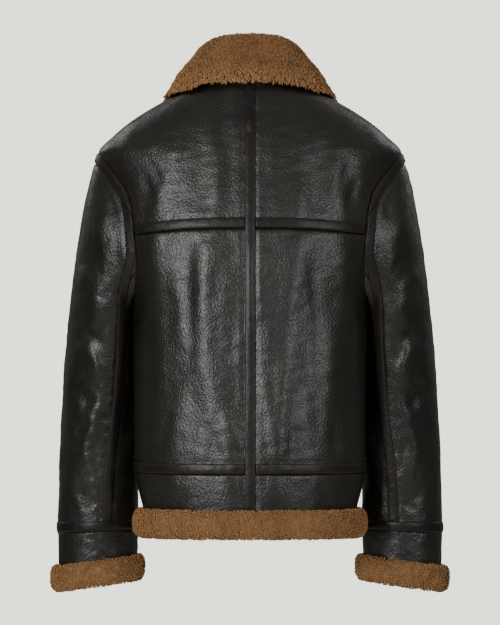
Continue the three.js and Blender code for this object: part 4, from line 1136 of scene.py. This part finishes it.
def over_shoulder(half):
    """1 where the collar lies on the shoulder, at a half turn round the neck."""
    return hump(half, math.radians(114), 0.27, 4)


def collar_surface(turns, ways):
    """The collar's leather side: a grid over the angle round the neck and the way from seam to edge."""
    half, side = np.abs(turns), np.where(turns < 0, -1.0, 1.0)
    fold_turn, fold_radius, fold_drop, edge_turn, edge_drop, stand_off = (
        column(np.degrees(half)) for column in collar_columns
    )
    fold_turn, edge_turn = side * np.radians(fold_turn), side * np.radians(edge_turn)

    def polar(out, drop):
        radius = fold_radius + out
        return points_of(radius * np.sin(fold_turn), radius * np.cos(fold_turn), -drop)

    r = COLLAR["fold_radius"]
    seam_drop = neck_drop(half)
    neck = torso(turns, seam_drop, False)
    upward = unit(neck - torso(turns, seam_drop + 6, False))
    start = neck + upward * COLLAR["seam_gap"]
    rise = start + upward * 5
    fold_in, fold_top, fold_out = polar(-r, fold_drop + r), polar(0, fold_drop), polar(r, fold_drop + r)
    stand_off = stand_off * (1 - 0.6 * over_shoulder(half)) * mix(1, 0.4, smooth(0.7, 1.2, half))
    edge_drop = edge_drop - 13 * hump(half, math.radians(110), 0.26) - 4 * hump(half, 0, 1)
    edge = torso(edge_turn, edge_drop) + torso_normal(edge_turn, edge_drop) * stand_off[:, None]
    stand = (rise + fold_in) / 2
    fall = (fold_out + edge) / 2
    level = fall * np.array([1.0, 1.0, 0.0])
    fall = fall + unit(level) * 1.5
    control = np.stack([start, rise, stand, fold_in, fold_top, fold_out, fall, edge], axis=1)
    return catmull(control, ways)


def grid_normals(grid):
    along = np.gradient(grid, axis=0)
    across = np.gradient(grid, axis=1)
    return unit(np.cross(along, across))


# A lock of wool: how deep its root sits, where it is thickest and how thick, how far it turns with its clump
# or by itself, and how many locks make a clump
LOCK = {"sunk": 1.6, "thickest": 0.48, "girth": 0.54, "swirl": 0.35, "stray": 0.22, "clump": 7}


def wool_locks(name, points, normals, lean, length, width, density, seed, tone=0.0, rust=0.0, pull=0.5,
               contrast=1.0):
    """Locks of wool that stand on a grid of points, gathered in clumps and leaning along lean.

    tone makes them lighter or darker and rust redder. All are single values or grids like points.
    """
    rng = np.random.default_rng(seed)
    shape = points.shape[:2]
    length, width, density, tone, rust = (
        np.broadcast_to(value, shape) for value in (length, width, density, tone, rust)
    )
    a, b, c, d = points[:-1, :-1], points[1:, :-1], points[1:, 1:], points[:-1, 1:]
    areas = np.linalg.norm(np.cross(b - a, c - a), axis=-1) + np.linalg.norm(np.cross(c - a, d - a), axis=-1)
    counts = (areas / 2 * density[:-1, :-1] + rng.random(areas.shape)).astype(int)
    i, j = np.meshgrid(np.arange(areas.shape[0]), np.arange(areas.shape[1]), indexing="ij")
    i, j = np.repeat(i.ravel(), counts.ravel()), np.repeat(j.ravel(), counts.ravel())
    u, v = rng.random(len(i))[:, None], rng.random(len(i))[:, None]

    def sample(grid):
        return (
            grid[i, j] * (1 - u) * (1 - v) + grid[i + 1, j] * u * (1 - v)
            + grid[i + 1, j + 1] * u * v + grid[i, j + 1] * (1 - u) * v
        )

    root, normal, way = sample(points), unit(sample(normals)), sample(lean)
    size = length[i, j] * rng.uniform(0.75, 1.2, len(i))
    girth = width[i, j] * rng.uniform(0.75, 1.2, len(i))
    clumps = max(len(i) // LOCK["clump"], 1)
    centres = rng.choice(len(i), clumps, replace=False)
    tree = KDTree(clumps)
    for k, centre in enumerate(centres):
        tree.insert(Vector(root[centre]), k)
    tree.balance()
    nearest = np.array([tree.find(Vector(p))[1] for p in root])
    swirl = unit(rng.normal(size=(clumps, 3)))[nearest]
    clump_tone = rng.normal(size=clumps)[nearest]
    heart = root[centres][nearest]
    aim = normal + way + LOCK["swirl"] * swirl + LOCK["stray"] * rng.normal(size=normal.shape)
    tip = root + unit(aim) * size[:, None]
    heart_tip = heart + unit(normal + way + LOCK["swirl"] * swirl) * size[:, None]
    tip = mix(tip, heart_tip, pull * rng.uniform(0.5, 1.2, len(i))[:, None])
    rise = ((tip - root) * normal).sum(-1, keepdims=True)
    tip = tip + normal * np.maximum(0.22 * size[:, None] - rise, 0)
    bend = unit(np.cross(normal, swirl))
    middle = mix(root, tip, LOCK["thickest"])
    middle = middle + normal * (0.2 * size[:, None]) + bend * (0.12 * size[:, None])
    root = root - normal * LOCK["sunk"]
    axis = unit(tip - root)
    side = unit(np.cross(axis, rng.normal(size=axis.shape)))
    other = np.cross(axis, side)
    ring = [
        middle + (side * math.cos(angle) + other * math.sin(angle)) * girth[:, None] * LOCK["girth"]
        for angle in (0, 2 * math.pi / 3, 4 * math.pi / 3)
    ]
    vertices = np.stack([root] + ring + [tip], axis=1)
    corners = vertices.shape[1]
    template = np.array([(0, 2, 1), (0, 3, 2), (0, 1, 3), (1, 2, 4), (2, 3, 4), (3, 1, 4)])
    faces = (template[None] + corners * np.arange(len(i))[:, None, None]).reshape(-1, 3)
    piece = new_object(name, vertices.reshape(-1, 3), faces, [WOOL])
    own = tone[i, j] + 0.07 * clump_tone + 0.04 * rng.normal(size=len(i))
    # Each lock is dark at its root and light at its tip, painted shade deep in the pile; contrast scales it
    levels = 0.4 + contrast * (np.array([0.0, 0.45, 0.45, 0.45, 0.85]) - 0.4)
    add_attribute(piece, "tip", own[:, None] + levels[None, :])
    add_attribute(piece, "rust", np.repeat(rust[i, j], corners))
    finish(piece, None)


ROLL_LINE = 0.865  # way along the collar of the crease where it rolls over


def collar():
    end = float(zip_turn(ZIP["neck"]))
    turns = np.linspace(-end, end, 221)
    ways = np.linspace(0, 1, 89)
    leather = collar_surface(turns, ways)
    normal = grid_normals(leather)
    if (normal[110, 80] * leather[110, 80])[:2].sum() < 0:
        normal = -normal
    full = mix(SKIN, COLLAR["thickness"], smooth(0, 0.3, ways))
    pile = mix(3.2, 2.2, smooth(0.8, 0.9, ways))
    thickness = mix(full, COLLAR["edge_thickness"], smooth(0.85, 1, ways)) - pile
    rim = smooth(0.0, 0.02, (end - np.abs(turns)) / end)
    lumps = 0.6 * waves(leather, 14, 30) + 0.45 * waves(leather, 6.5, 31)
    behind = 1 - smooth(math.radians(60), math.radians(100), np.abs(turns))
    broken = np.clip(0.6 + 0.7 * waves(leather[:, 70], 38, 33), 0, 1)
    roll = hump(ways, ROLL_LINE, 0.02)[None, :] * (behind * broken)[:, None]
    thin = over_shoulder(np.abs(turns))[:, None] * smooth(0.7, 0.85, ways)[None, :]
    beside = hump(np.abs(turns), math.radians(72), 0.35)[:, None]
    swell = 5.0 * beside * hump(ways, 0.88, 0.09)[None, :]
    crown = hump(turns, 0, math.radians(50), 4)[:, None] * hump(ways, 0.58, 0.1)[None, :]
    thickness = mix(2.0, thickness[None, :], rim[:, None]) - 2.6 * roll + swell + 2.5 * crown
    thickness = mix(thickness, 4.0, 0.5 * thin)
    wool = leather + normal * (thickness + lumps * smooth(0.02, 0.2, ways)[None, :])[..., None]
    first = -torso_normal(turns, neck_drop(turns), False)
    wool[:, 0] = leather[:, 0] + first * (SKIN - 1)
    below = smooth(ROLL_LINE - 0.03, ROLL_LINE + 0.05, ways)[None, :]
    heart = np.hypot(turns[:, None] * 72 / 26, (ways[None, :] - 0.79) / 0.06)
    rust = 0.35 * np.exp(-heart ** 2)
    # The crease of the roll line is painted darker, a painted shade in the crease; the fall is a little
    # lighter than the stand, the rusty patch a little darker, and the tone varies at random
    tone = mix(-0.04, 0.03, below) - 0.2 * roll - 0.05 * rust + 0.05 * waves(leather, 26, 34)
    piece = wall("collar_wool", wool, leather, [WOOL, LEATHER])
    # The wool's face is dark like the locks' roots, painted shade under the locks, and lighter on its lumps
    # than in the hollows, painted shade too
    add_attribute(piece, "tip", np.concatenate([(0.15 + 0.1 * lumps + tone).ravel(), np.zeros(lumps.size)]))
    add_attribute(piece, "rust", np.concatenate([rust.ravel(), np.zeros(lumps.size)]))
    add_attribute(piece, "wear", np.zeros(2 * lumps.size))
    finish(piece, "collar")
    declare_sheet(leather)
    down = unit(np.gradient(wool, axis=1))
    out = grid_normals_like(wool, normal)
    edge = smooth(ROLL_LINE, 0.99, ways)[None, :]
    falling = smooth(0.7, 0.95, ways)
    lean = down * mix(0.15, 1.6, falling)[None, :, None]
    length = mix(3.6, 9.0, edge) * (1 - 0.1 * thin)
    width = np.broadcast_to(mix(1.7, 2.1, edge), lumps.shape)
    density = np.broadcast_to(mix(0.5, 0.42, edge), lumps.shape)
    centre = len(turns) // 2
    # Rows and columns of each part, its share of the locks, how much wider they are, and the contrast of
    # their painted shade from root to tip
    parts = {
        "stand": (slice(None), slice(0, 50), 0.26, 1.35, 0.6),
        "roll": (slice(None), slice(49, 77), 1.0, 1.0, 0.6),
        "fall_right": (slice(0, centre + 1), slice(76, None), 1.0, 1.0, 1.3),
        "fall_left": (slice(centre, None), slice(76, None), 1.0, 1.0, 1.3),
    }
    for number, (part, (rows, columns, share, wider, contrast)) in enumerate(parts.items()):
        at = (rows, columns)
        wool_locks(
            f"collar_{part}_locks", wool[at], out[at], lean[at], length[at], width[at] * wider,
            density[at] * share, 7 + number, tone[at], rust[at], 0.45, contrast,
        )


def grid_normals_like(grid, reference):
    normal = grid_normals(grid)
    flip = np.sign((normal * reference).sum(-1, keepdims=True))
    return normal * np.where(flip == 0, 1, flip)


def closed_outline(outline, count):
    """The outline resampled on a smooth closed curve."""
    padded = np.concatenate([outline[-2:], outline, outline[:3]])[None]
    three = np.concatenate([padded, np.zeros((*padded.shape[:2], 1))], axis=-1)
    segments = three.shape[1] - 1
    ways = np.linspace(2, 2 + len(outline), count + 1)[:-1] / segments
    return catmull(three, ways)[0, :, :2]


def trim_grid(outline, seam, outward, seed):
    """Points of a wool trim, a row for each place along the leather's edge, pulled in for the locks."""
    shape = closed_outline(outline, 44)
    middle = shape.mean(0)
    inner = middle + (shape - middle) * (1 - 2.6 / np.linalg.norm(shape - middle, axis=-1, keepdims=True))
    grid = seam[:, None] + outward[:, None] * inner[None, :, :1]
    grid = grid - np.array([0, 0, 1.0]) * inner[None, :, 1:]
    centre = seam[:, None] + outward[:, None] * middle[0] - np.array([0, 0, 1.0]) * middle[1]
    away = unit(grid - centre)
    lumps = 0.6 * waves(grid, 15, seed) + 0.5 * waves(grid, 6.5, seed + 1)
    return grid + away * lumps[..., None], away, lumps


def trim(node, grid, away, outward, lumps, ring, seed, length):
    """A wool trim from its grid, capped at both ends unless it is a ring, and its locks."""
    rows, columns = grid.shape[:2]
    points = grid.reshape(-1, 3)
    faces = grid_faces(rows, columns, 0, ring=True).tolist()
    first = np.arange(columns)
    after = (first + 1) % columns
    last = (rows - 1) * columns
    # The trim's face is dark like the locks' roots and lighter on its lumps than in the hollows: painted
    # shade in the pile
    tips = (0.15 + 0.1 * lumps).ravel()
    if ring:
        faces += np.stack([last + first, last + after, after, first], axis=-1).tolist()
    else:
        hub = np.full(columns, len(points))
        points = np.concatenate([points, grid[[0, -1]].mean(1)])
        tips = np.concatenate([tips, [0.15, 0.15]])
        faces += np.stack([hub, after, first], axis=-1).tolist()
        faces += np.stack([hub + 1, last + first, last + after], axis=-1).tolist()
    if signed_volume(points, grid_faces(rows, columns, 0, ring=True)) < 0:
        faces = [face[::-1] for face in faces]
    piece = new_object(f"{node}_wool", points, faces, [WOOL])
    add_attribute(piece, "tip", tips)
    finish(piece, node)
    if ring:
        grid, away, outward = (np.concatenate([item, item[:1]]) for item in (grid, away, outward))
    grid, away = (np.concatenate([item, item[:, :1]], axis=1) for item in (grid, away))
    lean = np.zeros_like(away)
    lean[..., 2] = -0.35
    tone = 0.09 * waves(grid * np.array([1.0, 1.0, 0.35]), 75, seed + 5)
    streak = hump(np.arange(len(grid)), 0, 5.0)[:, None] * (0.0 if ring else 0.16)
    density = mix(0.1, 0.24, smooth(-0.6, 0.0, (away * outward[:, None]).sum(-1)))
    wool_locks(
        f"{node}_locks", grid, away, lean, length, 1.9, density, seed, tone + streak, 0.0, 0.35, 0.6
    )


def hem_trim(side):
    join = side * HEM_TRIM_JOIN + EASE
    turns = np.linspace(join / float(back_depth(BAND_END)), float(zip_turn(BAND_END)), 190)
    drop = np.full_like(turns, BAND_END)
    seam = torso(side * turns, drop)
    outward = torso_normal(side * turns, drop)
    outward[:, 2] = 0
    outward = unit(outward)
    grid, away, lumps = trim_grid(HEM_TRIM, seam, outward, 50 + side)
    trim(f"hem_trim_{side_word(side)}", grid, away, outward, lumps, False, 70 + side, 3.6)


def cuff_trim(side):
    phis = np.linspace(0, 2 * math.pi, 121)[:-1]
    station = np.full_like(phis, CUFF_STATION)
    phi = column_phi(phis, station)
    seam = on_side(side, sleeve(phi, station))
    outward = on_side(side, sleeve_normal(phi, station))
    outward[:, 2] = 0
    outward = unit(outward)
    grid, away, lumps = trim_grid(CUFF_TRIM, seam, outward, 54 + side)
    trim(f"cuff_trim_{side_word(side)}", grid, away, outward, lumps, True, 80 + side, 3.4)


# Zip: tape and teeth

TEETH = {"pitch": 2.6, "length": 3.4, "height": 1.5, "thickness": 2.2}


def zip_point(x, drop, depth):
    turn = math.pi - np.abs(x) / front_depth(drop)
    place = torso(turn, drop, False)
    normal = torso_normal(turn, drop, False)
    place[..., 0] = x
    return place - normal * np.asarray(depth)[..., None], normal


def zip_half(side):
    drops = np.linspace(ZIP["top"] - 6, BAND_END - 0.1, 240)
    x = side * np.array([0.9, 2.5, 4.5, 7.0, 12.0])
    grid_x, grid_drop = np.meshgrid(x, drops)
    outer, normal = zip_point(grid_x, grid_drop, np.full_like(grid_x, ZIP["depth"]))
    piece = wall(f"zip_tape_{side_word(side)}", outer, outer - normal * ZIP["tape"], [ZIP_CLOTH])
    finish(piece, f"zip_{side_word(side)}")
    declare_sheet(outer)
    places = np.arange(ZIP["top"] + 1, BAND_END - 3, TEETH["pitch"])
    places = places + (TEETH["pitch"] / 2 if side > 0 else 0)
    middle, normal = zip_point(
        np.full_like(places, side * (TEETH["length"] / 2 - 0.5)), places, np.full_like(places, 2.5)
    )
    up = unit(np.array([0.0, 0.0, 1.0]) - normal * normal[:, 2:])
    across = np.array([1.0, 0.0, 0.0]) * TEETH["length"]
    outline = np.array([(-0.5, -0.32), (-0.3, -0.5), (0.5, -0.42), (0.5, 0.42), (-0.3, 0.5), (-0.5, 0.32)])
    points, faces = [], []
    sides = len(outline)
    for k in range(len(places)):
        flat = middle[k] + across * outline[:, :1] + up[k] * outline[:, 1:] * TEETH["height"]
        half = normal[k] * TEETH["thickness"] / 2
        low, high = flat - half, flat + half
        start = k * 2 * sides
        points.append(np.concatenate([low, high]))
        for e in range(sides):
            after = (e + 1) % sides
            faces.append((start + e, start + after, start + sides + after, start + sides + e))
        faces.append(tuple(start + e for e in reversed(range(sides))))
        faces.append(tuple(start + sides + e for e in range(sides)))
    teeth = new_object(
        f"zip_teeth_{side_word(side)}", np.concatenate(points), faces, [METAL], smooth_faces=False
    )
    finish(teeth, None)


# Camera, lights and floor

CAMERA_DISTANCE = 9.0
CAMERA_HEIGHT = -0.356
LENS = 347.4
BACKGROUND = (2.15, 2.2, 1.95)
ZENITH = (0.37, 0.37, 0.357)
NADIR = (0.06, 0.06, 0.058)
AIM = (0, 0, -0.35)
FLOOR = {"radius": 1.7, "height": -1.3, "corners": 64}


def camera():
    data = bpy.data.cameras.new("camera")
    data.lens = LENS
    data.sensor_width = 36
    view = add_to_scene("camera", data)
    view.location = (0, CAMERA_DISTANCE, CAMERA_HEIGHT)
    view.rotation_euler = (math.radians(90), 0, math.radians(180))
    bpy.context.scene.camera = view


def area_light(name, place, target, size, power, colour=(1, 1, 1)):
    data = bpy.data.lights.new(name, "AREA")
    data.shape = "RECTANGLE"
    data.size, data.size_y = size
    data.energy = power
    data.color = colour
    lamp = add_to_scene(name, data)
    lamp.location = place
    direction = Vector(target) - Vector(place)
    lamp.rotation_euler = direction.to_track_quat("-Z", "Y").to_euler()


def surroundings():
    world = bpy.data.worlds.new("studio")
    world.use_nodes = True
    tree = world.node_tree
    ambient = tree.nodes["Background"]
    direction = tree.nodes.new("ShaderNodeTexCoord").outputs["Generated"]
    split = add_node(tree, "ShaderNodeSeparateXYZ", Vector=direction)
    height = add_node(tree, "ShaderNodeMapRange", Value=split.outputs["Z"], From_Min=-1.0)
    sky = ramp(tree, height.outputs["Result"], [(0.3, NADIR), (0.85, ZENITH)])
    tree.links.new(sky, ambient.inputs["Color"])
    pale = add_node(tree, "ShaderNodeBackground", Color=(*BACKGROUND, 1.0), Strength=1.0)
    seen = tree.nodes.new("ShaderNodeLightPath").outputs["Is Camera Ray"]
    either = add_node(
        tree, "ShaderNodeMixShader", None, {1: ambient.outputs[0], 2: pale.outputs[0]}, Fac=seen
    )
    tree.links.new(either.outputs[0], tree.nodes["World Output"].inputs["Surface"])
    bpy.context.scene.world = world
    material = plain_material("pale_floor", (0.7, 0.7, 0.68), (0.74, 0.74, 0.72), 0.9, 0.0, 6.0, 0.02)
    mesh = bpy.data.meshes.new("floor")
    angles = [2 * math.pi * k / FLOOR["corners"] for k in range(FLOOR["corners"])]
    ring = [
        (FLOOR["radius"] * math.cos(angle), FLOOR["radius"] * math.sin(angle), FLOOR["height"])
        for angle in angles
    ]
    mesh.from_pydata(ring, [], [tuple(range(len(ring)))])
    mesh.materials.append(material)
    floor = add_to_scene("floor", mesh)


# Assembly

camera()
surroundings()
area_light("key", (1.45, 3.0, -0.15), AIM, (0.3, 0.9), 68)
area_light("second", (-1.75, 2.9, -0.15), AIM, (0.2, 0.9), 30)
area_light("front_left", (1.9, -2.2, 1.2), AIM, (0.5, 1.6), 12)
area_light("front_right", (-1.9, -2.2, 1.2), AIM, (0.5, 1.6), 9)

for side in (1, -1):
    back_panel(side)
    yoke_panel(side)
    front_panel(side)
    band_panel(side, True)
    band_panel(side, False)
    sleeve_panel(side, "sleeve_outer", SEAM_FRONT - 2 * math.pi, SEAM_BACK, 74)
    sleeve_panel(side, "sleeve_under", SEAM_BACK, SEAM_FRONT, 36)
    wristband(side)
    yoke_strap(side)
    hem_strap(side)
    arm_strap(side)
    hind_strap(side)
    wrist_strap(side)
    hem_trim(side)
    cuff_trim(side)
    zip_half(side)
centre_strap()
collar()
stitches()

for name in ("zip_slider", "zip_pull"):
    node = bpy.data.objects[name]
    node.data.materials.clear()
    node.data.materials.append(METAL)
